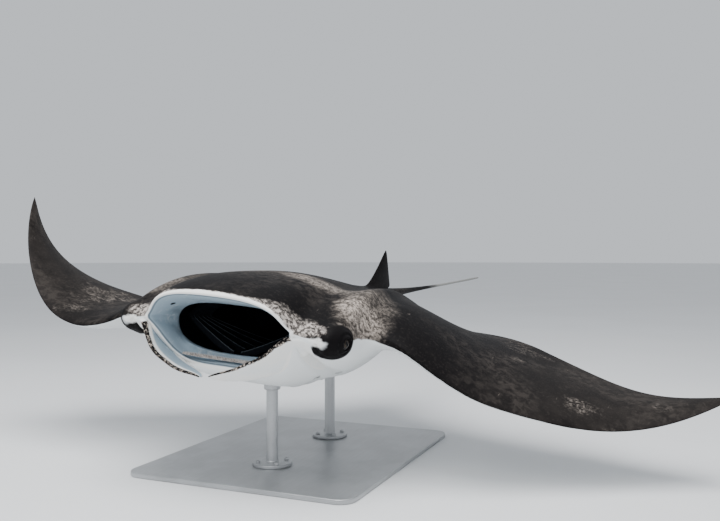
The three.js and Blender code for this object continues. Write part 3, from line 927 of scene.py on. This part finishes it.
def back_colour(r):
    """Nearly black, mottled, with frosted shoulders and greyer, scuffed wings. The shoulders on the
    animal's left are brighter, as painted sunlight.
    """
    broad = r.noise(r.flat, 2.6, 5, .55, .4)
    worn = r.step(broad, .42, .62) * r.step(r.grain, .38, .66) * .75 + r.step(r.fleck, .52, .66) * .30
    wing = r.step(r.span, .60, 1.25) * (r.mottle * 1.1 - .15)
    back = r.mix(r.math("ADD", worn, wing, clamped=True), r.colours.back, r.colours.back_worn)
    shoulder = 0.0
    for centre, scale, strength in SHOULDER_ZONES:
        away = r.distance(r.half, centre, scale) + r.mottle * 1.2
        shoulder = r.math("MAXIMUM", r.step(away, 1.65, .90) * strength, shoulder)
    # Painted sunlight: the shoulders are brighter on the animal's left than on its right.
    shoulder *= r.step(r.x, -.25, .05) * .60 + .40
    frosting = (r.step(r.fleck, .40, .58) * .66 + .16) * (r.step(r.grain, .34, .56) * .70 + .30)
    back = r.mix(shoulder * frosting, back, r.colours.shoulder)
    patches = r.step(r.noise(r.flat, 4.2, 3, .5), .54, .64) * r.step(r.span, .72, .95)
    patches *= r.step(r.fleck, .44, .62) * (r.step(r.grain, .42, .60) * .26 + .06)
    return r.mix(patches, back, r.colours.shoulder)


def belly_colour(r):
    """White, with a grey rear margin and dark spots."""
    margin = r.step(r.chord + r.mottle * .10, .86, .98) * r.step(r.span, .30, .60)
    tips = r.step(r.span + r.mottle * .20, 1.48, 1.66)
    belly = r.mix(r.math("MAXIMUM", margin, tips), r.colours.belly, r.colours.belly_grey_and_slit_shade)
    away, size, chance = r.cells(r.scaled(r.flat, (1, 1, .1)), 17)
    spot = r.math("LESS_THAN", away + r.fleck * .06, size * .38) * r.step(chance, .45, .50)
    zone = r.step(r.y, .40, .55) * r.step(r.y, 1.42, 1.25) * r.step(r.span, .36, .24)
    return r.mix(spot * zone, belly, r.colours.back)


def gill_slits(r, belly):
    """Five slits on each side, painted as near-black lines of shadow with a grey band of painted shade
    round them. Returns the colour and how much of a crease there is.
    """
    slit = gill_row(r.span, r.y)
    along = gill_share(r.span, slit / GILL_COUNT)
    window = r.step(along, 0, .10) * r.step(along, 1, .90) * r.step(r.under, .9, .99)
    window *= r.math("GREATER_THAN", slit, -.5) * r.math("LESS_THAN", slit, GILL_COUNT - .5)
    nearest = r.math("ABSOLUTE", slit - r.math("ROUND", slit))
    slit_crease_and_shade = r.step(nearest, .085, .02) * window
    # Painted shade: a grey band round each slit.
    belly = r.mix(r.step(nearest, .30, .05) * window * .35, belly, r.colours.belly_grey_and_slit_shade)
    # Painted shadow: a near-black line along each slit.
    return r.mix(slit_crease_and_shade, belly, r.colours.throat), slit_crease_and_shade


def countershaded(r, back, belly):
    """The dark of the back ends in a ragged edge, just under the front of the wings and
    above the side of the head, and takes in the whole tail."""
    border = r.step(r.span, .42, .52) * .52 + .32
    edge = ragged(r.under - border, r.mottle, .5) - r.step(r.y, 1.60, 1.90)
    return r.mix(r.step(edge, -.06, .08), back, belly)


def head_markings(r, colour):
    """A dark knob round the eye, with a white patch and a frosted ridge ahead of it."""
    knob = ragged(r.distance(r.half, *EYE_KNOB), r.mottle, .22)
    colour = r.mix(r.step(knob, 1.04, .94), colour, r.colours.back)
    patch = r.step(r.distance(r.half, *WHITE_PATCH) + r.grain * 1.1, 1.50, 1.15)
    colour = r.mix(patch * (r.fleck * 1.1 + .25), colour, r.colours.lip)
    brow = r.step(r.distance(r.half, *BROW) + r.grain * .9, 1.45, .95)
    return r.mix(brow * (r.step(r.fleck, .42, .60) * .80 + .06), colour, r.colours.frost)


def lip_markings(r, colour):
    """A white rim, frosted over a wider zone towards the corners of the mouth."""
    top = r.step(r.under, .45, .25)
    width = r.step(r.span, .12, .27) * .052 + .010
    zone = r.step(ragged(r.chord * 1.5 / width, r.grain, 1.1), 1.15, .35)
    zone *= top * r.step(r.span, .345, .30)
    colour = r.mix(zone * (r.step(r.fleck, .44, .60) * .80 + .10), colour, r.colours.frost)
    rim = ragged(r.lip, r.grain, .5) - r.step(r.span, .16, .26) * top * .30
    rim = r.step(rim, .62, .80) * r.step(r.lobe, .09, .04)
    return r.mix(r.math("MAXIMUM", rim, r.step(r.gape, .0005, .003)), colour, r.colours.lip)


def shaded_palate_colour(r):
    """Blue-grey painted shade on the white lining, with darker mottled painted shade further in, behind a
    thin dark line, with one small dark mark.
    """
    # Painted shade: darker mottling further into the mouth.
    deep_palate_shade = r.step(r.mottle, .38, .72) * r.step(r.gape, .04, .13)
    palate = r.mix(deep_palate_shade, r.colours.palate, shade(r.colours.palate, .62))
    palate = r.mix(r.step(r.grain, .55, .75) * .35, palate, r.colours.lip)
    dark_line = r.step(r.gape, .0085, .0105) * r.step(r.gape, .016, .0135)
    palate = r.mix(dark_line * .55, palate, r.colours.throat)
    birthmark = r.distance(r.flat, BIRTHMARK) + r.grain * .012
    return r.mix(r.step(birthmark, .018, .014), palate, r.colours.throat)


def mouth_lining(r, colour, palate):
    """The palate and the floor of the mouth in painted shade, darkening to a near-black painted shadow
    further in.
    """
    low = r.step(r.z, *MOUTH_FLOOR)
    colour = r.mix(r.step(r.gape, .0075, .0095), colour, palate)
    # Painted shadow: the floor of the mouth darkens with depth.
    floor = r.mix(r.step(r.gape, .165, .235), shade(r.colours.palate, .75), r.colours.throat)
    colour = r.mix(r.step(r.gape, .150, .170) * low, colour, floor)
    # Painted shadow: near-black deep in the mouth.
    deep = r.gape - low * (r.span * .10 + .045)
    return r.mix(r.step(deep, .170, .186), colour, r.colours.throat)


def lobe_markings(r, colour, palate):
    """Pale cephalic lobes, with a dark speckled front edge. Near the root, their inner faces are in the
    palate's blue-grey painted shade.
    """
    inside = r.step(r.gape, .028, .034)
    skin = r.mix(r.step(r.mottle, .3, .7), r.colours.belly, r.colours.lip)
    # Painted shade: the inner face near the root in the palate's blue-grey.
    skin = r.mix(r.step(r.gape, .028, .040), skin, palate)
    colour = r.mix(r.step(r.lobe, .04, .09), colour, skin)
    colour = r.mix(r.step(r.lobe, .72, .80) * inside, colour, r.colours.lip)
    speckled = r.mix(r.step(r.fleck, .50, .62), r.colours.back, r.colours.shoulder)
    edge = ragged(r.lobe, r.fleck, .20) + inside * .05
    return r.mix(r.step(edge, .92, .96), colour, speckled)


def sunlit_tail_and_scuffs(r, colour):
    """Painted sunlight on the pale far end of the tail, and small scars and scuffs on the back."""
    # Painted sunlight: a paler far end of the tail.
    colour = r.mix(r.step(r.y + r.mottle * .25, 2.35, 2.60), colour, r.colours.sunlit_tail_end)
    scratch = r.noise(r.scaled(r.flat, (60, 7, 20)), 1, 2, .5, 1.2)
    scuff = r.step(scratch, .70, .76) * r.step(r.mottle, .5, .7)
    return r.mix(scuff * .30, colour, r.colours.shoulder)


def skin_material():
    r = SkinRecipe()
    belly, slit_crease_and_shade = gill_slits(r, belly_colour(r))
    palate = shaded_palate_colour(r)
    colour = countershaded(r, back_colour(r), belly)
    colour = lip_markings(r, head_markings(r, colour))
    colour = lobe_markings(r, mouth_lining(r, colour, palate), palate)
    denticles = r.bump(r.fine, .0010, .35)
    folds = r.noise(r.scaled(r.flat, (30, 9, 30)), 1, 4, .6, .8)
    creases = r.bump(folds, .0040, .30, denticles)
    slits = r.bump(1.0 - slit_crease_and_shade, .010, .9, creases)
    return r.set(Base_Color=sunlit_tail_and_scuffs(r, colour), Roughness=r.fine * .12 + (r.mottle * .20 + .42),
                 Normal=slits, IOR=1.30, Specular_IOR_Level=.14)


# ------------------------------------------------------------------ eyes

GAZE = (.93, -.30, .12)


def eyes_mesh():
    """Two eyeballs with a raised cornea. Each vertex keeps its place on the unit ball,
    with Z along the line of sight, for the iris."""
    radius = bpy.context.scene.manta_sizes.eye_radius
    bm = bmesh.new()
    gaze = bm.verts.layers.float_vector.new("gaze")
    for side in (1, -1):
        ball = bmesh.ops.create_uvsphere(bm, u_segments=48, v_segments=28, radius=1)["verts"]
        sight = on_side(GAZE, side).normalized()
        turn = Vector((0, 0, 1)).rotation_difference(sight)
        for vertex in ball:
            vertex[gaze] = vertex.co
            off_axis = hypot(vertex.co.x, vertex.co.y)
            cornea = .05 * (1 - smoothstep(off_axis, .30, .66)) if vertex.co.z > 0 else 0
            vertex.co = on_side(EYE, side) + turn @ (vertex.co * radius * (.97 + cornea))
    return posed_mesh_from(bm, "manta_eyes")


def eye_material():
    r = Recipe("manta_eye")
    colours = r.colours
    gaze = r.place("gaze")
    x, y, z = r.axes(gaze)
    across = r.joined(x, y)
    off_axis = r.distance(across, (0, 0, 0))
    spokes = r.noise(r.vector_math("NORMALIZE", across)[0], 9, 4, .7, .3)
    grain = r.noise(gaze, 40, 4, .6)
    iris = r.mix(r.step(spokes, .40, .66), colours.iris, colours.iris_streak)
    iris = r.mix(r.step(off_axis, .46, .56), iris, colours.back)
    white = r.mix(r.step(grain, .4, .7), colours.back, colours.back_worn)
    colour = r.mix(r.step(off_axis, .56, .62), iris, white)
    slit = r.distance(r.scaled(across, (2.9, 5.4, 0)), (0, -.10, 0))
    pupil = r.step(slit, 1.05, .95) * r.math("GREATER_THAN", z, 0.0)
    return r.set(Base_Color=r.mix(pupil, colour, colours.pupil), Roughness=grain * .10 + .04,
                 Normal=r.bump(grain, .0002, .2), Specular_IOR_Level=.15, Coat_Weight=.25,
                 Coat_Roughness=.02, IOR=1.36)


# ------------------------------------------------------------------ tooth band and gill arches

BAND_HALF, BAND_Y, BAND_Z = .185, .166, -.114
BAND_SWEEP, BAND_RISE = .016, .005
BAND_DEEP, BAND_THICK = .020, .010
BAND_RING, BAND_LENGTHS = 16, 72
CUSPS_IN_ROW = 58
CUSP_FOOT, CUSP_POINT, CUSP_HEIGHT, CUSP_LIFT = .0024, .0005, .0062, .0012


def band_place(s, angle, ripple=1.0):
    """A place on the tooth band, s from one end to the other, at an angle round its section."""
    ends = sqrt(max(.04, 1 - abs(s) ** 10))
    return Vector((s * BAND_HALF,
                   BAND_Y - BAND_SWEEP * s * s + cos(angle) * BAND_DEEP / 2 * ends,
                   BAND_Z + BAND_RISE * s * s + sin(angle) * ripple * BAND_THICK / 2 * ends))


def add_gum(bm):
    """The low, rounded band that the cusps stand on."""
    ring = bmesh.ops.create_circle(bm, segments=BAND_RING, radius=1)["verts"]
    edges = list(bm.edges)
    for length in range(BAND_LENGTHS + 1):
        if length:
            grown = bmesh.ops.extrude_edge_only(bm, edges=edges)["geom"]
            ring, edges = verts_in(grown), open_edges_in(grown)
        s = 2 * length / BAND_LENGTHS - 1
        for i, vertex in enumerate(ring):
            angle = 2 * pi * i / BAND_RING
            vertex.co = band_place(s, angle, 1 + .10 * sin(s * 70 + 2 * sin(angle)))
        if length in (0, BAND_LENGTHS):
            bmesh.ops.contextual_create(bm, geom=edges)


def add_cusp(bm, cusp, s, angle):
    out = Vector((0, cos(angle), sin(angle))).normalized()
    turn = Vector((0, 0, 1)).rotation_difference((out + Vector((0, .5, 0))).normalized())
    size = .85 + .3 * noise.random()
    tooth = bmesh.ops.create_cone(bm, cap_ends=True, segments=6, radius1=CUSP_FOOT,
                                  radius2=CUSP_POINT, depth=CUSP_HEIGHT)["verts"]
    for vertex in tooth:
        vertex[cusp] = 1 if vertex.co.z > 0 else .3
        vertex.co = band_place(s, angle) + turn @ (vertex.co * size) + out * CUSP_LIFT


def tooth_band_mesh():
    """A gum with rows of small hooked cusps."""
    rows = bpy.context.scene.manta_sizes.tooth_rows
    bm = bmesh.new()
    cusp = bm.verts.layers.float.new("cusp")
    add_gum(bm)
    noise.seed_set(7)
    for row in range(rows):
        angle = radians(lerp(205, 60, (row + .5) / rows))
        for i in range(CUSPS_IN_ROW):
            add_cusp(bm, cusp, (2 * (i + .5 * (row % 2) + .25) / CUSPS_IN_ROW - 1) * .97, angle)
    return posed_mesh_from(bm, "manta_tooth_band")


def tooth_material():
    r = Recipe("manta_tooth_band")
    place = r.object_place()
    grain = r.noise(place, 220, 5, .6)
    patch = r.noise(place, 42, 4, .6)
    gum = r.mix(r.step(patch, .40, .62), r.colours.gum, r.colours.tooth)
    gum = r.mix(r.step(grain, .55, .75), gum, r.colours.back)
    colour = r.mix(r.step(r.number("cusp"), .2, .9), gum, r.colours.tooth)
    return r.set(Base_Color=colour, Roughness=grain * .3 + .25, Normal=r.bump(grain, .0008, .5),
                 Coat_Weight=.3, Coat_Roughness=.15)


ARCH_STARTS = (.215, .290, .365, .445, .530, .590, .640)
ARCH_FAR, ARCH_SPACING = .262, .012
ARCH_SCALE = .10


def arch_place(arch, x, y, z, crest):
    """Moves a place of a hoop of radius 1 onto a gill arch. Returns it with its crest's paleness."""
    beyond = abs(atan2(z, x)) - radians(89)
    reach = clamp(1 + beyond / radians(89))
    past = max(0, beyond)
    thick = ARCH_SCALE * (hypot(x, z) - 1)
    outward = .014 + (.206 - .010 * arch) * (reach if beyond < 0 else cos(beyond))
    height = lerp(-.089, .008, reach ** 1.15) + .070 * sin(past)
    depth = lerp(ARCH_STARTS[arch], ARCH_FAR + ARCH_SPACING * arch, reach) + y + .05 * past
    place = Vector((outward + thick * cos(beyond), depth, height + thick * sin(beyond)))
    return place, crest * (1 - smoothstep(reach + past, .90, 1.70))


def gill_arches_mesh():
    """Thin blades that run from the middle of the throat's floor out and up its sides."""
    bm = bmesh.new()
    crest = bm.verts.layers.float.new("crest")
    for arch in range(bpy.context.scene.manta_sizes.gill_arches):
        blade = bmesh.ops.create_circle(bm, segments=12, radius=1)["verts"]
        for vertex in blade:
            vertex[crest] = .5 - .5 * vertex.co.x
            vertex.co = Vector((1.13 + .13 * vertex.co.x, .0022 * vertex.co.y, 0))
        edges = list({edge for vertex in blade for edge in vertex.link_edges})
        bmesh.ops.spin(bm, geom=blade + edges, cent=(0, 0, 0), axis=(0, 1, 0), angle=radians(140),
                       steps=28, use_merge=False, use_duplicate=False)
        for vertex in linked(blade):
            vertex.co, vertex[crest] = arch_place(arch, *vertex.co, vertex[crest])
    bmesh.ops.holes_fill(bm, edges=[edge for edge in bm.edges if edge.is_boundary], sides=0)
    bmesh.ops.mirror(bm, geom=bm.verts[:] + bm.edges[:] + bm.faces[:],
                     matrix=Matrix.Identity(4), merge_dist=1e-5, axis="X")
    return posed_mesh_from(bm, "manta_gill_arches")


def gill_material():
    r = Recipe("manta_gill_arch")
    grain = r.noise(r.object_place(), 90, 4, .6)
    edge = ragged(r.number("crest"), grain, .1)
    # Painted shadow: the arches are near-black as the throat's shade, with paler front edges.
    colour = r.mix(r.step(edge, .86, .98), r.colours.throat, r.colours.gill)
    return r.set(Base_Color=colour, Roughness=.7, Specular_IOR_Level=.03, Normal=r.bump(grain, .001, .4))


# ------------------------------------------------------------------ stand

PLATE_CORNER, PLATE_BEVEL = .060, .004
FLANGE, FLANGE_THICK, FLANGE_BEVEL = .075, .012, .002
ROD, WELD = .022, .007
COLLAR, COLLAR_HEIGHT, CUP = .031, .034, .036
SCREWS, SCREW_CIRCLE = 4, .056
SCREW_HEAD, SCREW_HEIGHT, SCREW_BEVEL = .0085, .008, .0012
SOCKET, SOCKET_DEPTH, SOCKET_INSET = .0038, .005, .0025
AXIS = 1e-4


def stand_base_mesh():
    low, high = map(Vector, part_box("stand_base"))
    size = high - low
    bm = bmesh.new()
    bmesh.ops.create_cube(bm, size=1)
    bmesh.ops.scale(bm, verts=bm.verts, vec=size)

    def rise(edge):
        return abs(edge.verts[0].co.z - edge.verts[1].co.z)

    bevel(bm, [edge for edge in bm.edges if rise(edge) > size.z / 2], PLATE_CORNER, 14)
    bevel(bm, [edge for edge in bm.edges if rise(edge) < size.z / 2], PLATE_BEVEL, 4)
    bmesh.ops.translate(bm, verts=bm.verts, vec=(high + low) / 2)
    return mesh_from(bm, "stand_base_plate")


def quarter(steps):
    """Sines and cosines round a quarter turn."""
    return [(sin(pi / 2 * i / steps), cos(pi / 2 * i / steps)) for i in range(steps + 1)]


def rod_profile(foot, top):
    """Radii and heights of a rod with a bevelled flange, a weld, a collar and a cup."""
    deck, rim, collar = foot + FLANGE_THICK, FLANGE - FLANGE_BEVEL, top - COLLAR_HEIGHT
    profile = [(AXIS, foot), (rim, foot), (FLANGE, foot + FLANGE_BEVEL)]
    profile += [(rim + FLANGE_BEVEL * c, deck - FLANGE_BEVEL + FLANGE_BEVEL * s) for s, c in quarter(3)]
    profile += [(ROD + WELD * (1 - s), deck + WELD * (1 - c)) for s, c in quarter(4)]
    profile += [(ROD, collar), (COLLAR - .002, collar + .0015), (COLLAR, collar + .0035)]
    return profile + [(COLLAR, top - .008), (CUP, top - .003), (CUP, top), (AXIS, top)]


def rod_mesh(node):
    low, high = map(Vector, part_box(node))
    bm = bmesh.new()
    vertices = [bm.verts.new((radius, 0, z)) for radius, z in rod_profile(low.z, high.z + .001)]
    edges = [bm.edges.new(pair) for pair in zip(vertices, vertices[1:])]
    bmesh.ops.spin(bm, geom=vertices + edges, cent=(0, 0, 0), axis=(0, 0, 1), angle=2 * pi,
                   steps=64, use_merge=True, use_duplicate=False)
    for i in range(SCREWS):
        turn = pi / 4 + 2 * pi * i / SCREWS
        add_screw(bm, Vector((SCREW_CIRCLE * cos(turn), SCREW_CIRCLE * sin(turn), low.z + FLANGE_THICK)))
    bmesh.ops.remove_doubles(bm, verts=bm.verts, dist=2e-4)
    middle = (low + high) / 2
    bmesh.ops.translate(bm, verts=bm.verts, vec=(middle.x, middle.y, 0))
    return mesh_from(bm, node.replace("stand_", "stand_fitted_"))


def top_face(vertices):
    """The highest face, or the largest of those."""
    faces = {face for vertex in vertices for face in vertex.link_faces}
    return max(faces, key=lambda face: (round(face.calc_center_median().z, 5), face.calc_area()))


def add_screw(bm, seat):
    """A cap screw with a hexagonal socket."""
    head = bmesh.ops.create_cone(bm, cap_ends=True, segments=24, radius1=SCREW_HEAD,
                                 radius2=SCREW_HEAD, depth=SCREW_HEIGHT)["verts"]
    bevelled = bevel(bm, list(top_face(head).edges), SCREW_BEVEL, 2)["verts"]
    top = top_face({vertex for vertex in head if vertex.is_valid} | set(bevelled))
    bmesh.ops.inset_region(bm, faces=[top], thickness=SOCKET_INSET, depth=0)
    for vertex in top.verts:
        angle = atan2(vertex.co.y, vertex.co.x)
        reach = SOCKET / cos((angle + pi / 6) % (pi / 3) - pi / 6)
        vertex.co.x, vertex.co.y = reach * cos(angle), reach * sin(angle)
    floor = verts_in(bmesh.ops.extrude_face_region(bm, geom=[top])["geom"])
    bmesh.ops.delete(bm, geom=[top], context="FACES_ONLY")
    bmesh.ops.translate(bm, verts=floor, vec=(0, 0, -SOCKET_DEPTH))
    bmesh.ops.translate(bm, verts=linked(floor), vec=seat + Vector((0, 0, SCREW_HEIGHT / 2 + 4e-4)))


def steel_material():
    r = Recipe("stand_steel")
    steel, place = r.colours.steel, r.object_place()
    brushed = r.noise(r.scaled(place, (300, 9, 300)), 1, 3, .5)
    blotch = r.noise(place, 6, 4, .55)
    colour = r.mix(r.step(blotch, .35, .65), shade(steel, .82), steel)
    colour = r.mix(brushed * .35, colour, shade(steel, .6))
    rough = brushed * .16 + (blotch * .14 + .24)
    return r.set(Base_Color=colour, Metallic=.85, Roughness=rough, Normal=r.bump(brushed, .0002, .25))


def floor_material():
    r = Recipe("studio_floor")
    tone = r.noise(r.object_place(), .8, 3, .5)
    colour = r.mix(r.step(tone, .3, .7), r.colours.floor, shade(r.colours.floor, .97))
    return r.set(Base_Color=colour, Roughness=.75)


# ------------------------------------------------------------------ operators

class MANTA_OT_skin(bpy.types.Operator):
    """Make the whole skin: body, wings, lips, palate, lobes, fins and tail in one piece"""
    bl_idname = "manta.skin"
    bl_label = "Skin"

    def execute(self, context):
        flesh = [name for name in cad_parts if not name.startswith(("stand_", "eye_", "tooth_"))]
        finished("manta_skin", pose_skin(lay_flat_skin()), skin_material(), "back_skin", *flesh)
        return {"FINISHED"}


class MANTA_OT_eyes(bpy.types.Operator):
    """Make both eyes"""
    bl_idname = "manta.eyes"
    bl_label = "Eyes"

    def execute(self, context):
        finished("manta_eyes", eyes_mesh(), eye_material(), "eye", "eye_left", "eye_right")
        return {"FINISHED"}


class MANTA_OT_tooth_band(bpy.types.Operator):
    """Make the band of small teeth on the lower jaw"""
    bl_idname = "manta.tooth_band"
    bl_label = "Tooth band"

    def execute(self, context):
        finished("manta_tooth_band", tooth_band_mesh(), tooth_material(), "teeth", "tooth_band")
        return {"FINISHED"}


class MANTA_OT_gill_arches(bpy.types.Operator):
    """Make the gill arches that show in the throat"""
    bl_idname = "manta.gill_arches"
    bl_label = "Gill arches"

    def execute(self, context):
        finished("manta_gill_arches", gill_arches_mesh(), gill_material(), "belly_skin")
        return {"FINISHED"}


class MANTA_OT_stand(bpy.types.Operator):
    """Make the base plate and the two rods that hold the animal"""
    bl_idname = "manta.stand"
    bl_label = "Stand"

    def execute(self, context):
        steel = steel_material()
        finished("stand_plate", stand_base_mesh(), steel, "stand_steel", "stand_base")
        for end in ("front", "rear"):
            node = "stand_rod_" + end
            finished("stand_fitted_rod_" + end, rod_mesh(node), steel, "stand_steel", node)
        return {"FINISHED"}


FLOOR_RADIUS = 60
ROOM_COLOUR = (.86, .90, .95, 1)
# Lights: name, diameter, place and aim.
LIGHTS = (
    ("key", 4.0, (.4, -1.4, 5.0), (0, .1, .4)),
    ("fill", 3.0, (.2, -4.4, 4.6), (0, -.4, .5)),
)


class MANTA_OT_stage(bpy.types.Operator):
    """Make the floor, the lights and the camera"""
    bl_idname = "manta.stage"
    bl_label = "Stage"

    def execute(self, context):
        stage = context.scene.manta_stage
        self.lay_floor(context)
        world = bpy.data.worlds.new("room")
        world.use_nodes = True
        background = world.node_tree.nodes["Background"]
        background.inputs["Color"].default_value = ROOM_COLOUR
        background.inputs["Strength"].default_value = stage.sky
        context.scene.world = world
        for name, size, place, aim in LIGHTS:
            data = bpy.data.lights.new(name, "AREA")
            data.energy = getattr(stage, name)
            data.shape = "DISK"
            data.size = size
            turn = (Vector(aim) - Vector(place)).to_track_quat("-Z", "Y").to_euler()
            self.put(context, name, data, place, turn)
        data = bpy.data.cameras.new("camera")
        data.lens = stage.lens
        data.sensor_width = 36
        turn = (pi / 2 - stage.tilt, 0, stage.azimuth)
        context.scene.camera = self.put(context, "camera", data, stage.camera_at, turn)
        return {"FINISHED"}

    def put(self, context, name, data, place=(0, 0, 0), turn=(0, 0, 0)):
        thing = bpy.data.objects.new(name, data)
        thing.location = place
        thing.rotation_euler = turn
        context.scene.collection.objects.link(thing)
        return thing

    def lay_floor(self, context):
        bm = bmesh.new()
        bmesh.ops.create_circle(bm, cap_ends=True, radius=FLOOR_RADIUS, segments=96)
        mesh = bpy.data.meshes.new("floor")
        bm.to_mesh(mesh)
        bm.free()
        mesh.materials.append(floor_material())
        self.put(context, "floor", mesh)


class MANTA_PT_sidebar(bpy.types.Panel):
    """Lists the sizes, the colours and the steps that build the manta ray"""
    bl_idname = "MANTA_PT_sidebar"
    bl_label = "Reef Manta Ray"
    bl_space_type = "VIEW_3D"
    bl_region_type = "UI"
    bl_category = "Manta"

    def draw(self, context):
        for group in GROUPS:
            box = self.layout.box()
            settings = getattr(context.scene, group)
            for name in settings.bl_rna.properties.keys():
                if name not in ("rna_type", "name"):
                    box.prop(settings, name)
        for operator in STEPS:
            self.layout.operator(operator.bl_idname)


STEPS = (MANTA_OT_skin, MANTA_OT_eyes, MANTA_OT_tooth_band, MANTA_OT_gill_arches,
         MANTA_OT_stand, MANTA_OT_stage)
GROUPS = {"manta_sizes": MantaSizes, "manta_colours": MantaColours, "manta_stage": MantaStage}
CLASSES = (*GROUPS.values(), *STEPS, MANTA_PT_sidebar)


def register():
    for cls in CLASSES:
        bpy.utils.register_class(cls)
    for name, group in GROUPS.items():
        setattr(bpy.types.Scene, name, bpy.props.PointerProperty(type=group))


def unregister():
    for name in GROUPS:
        delattr(bpy.types.Scene, name)
    for cls in reversed(CLASSES):
        bpy.utils.unregister_class(cls)


def main():
    register()
    bpy.ops.manta.skin()
    bpy.ops.manta.eyes()
    bpy.ops.manta.tooth_band()
    bpy.ops.manta.gill_arches()
    bpy.ops.manta.stand()
    bpy.ops.manta.stage()


if __name__ == "__main__":
    main()
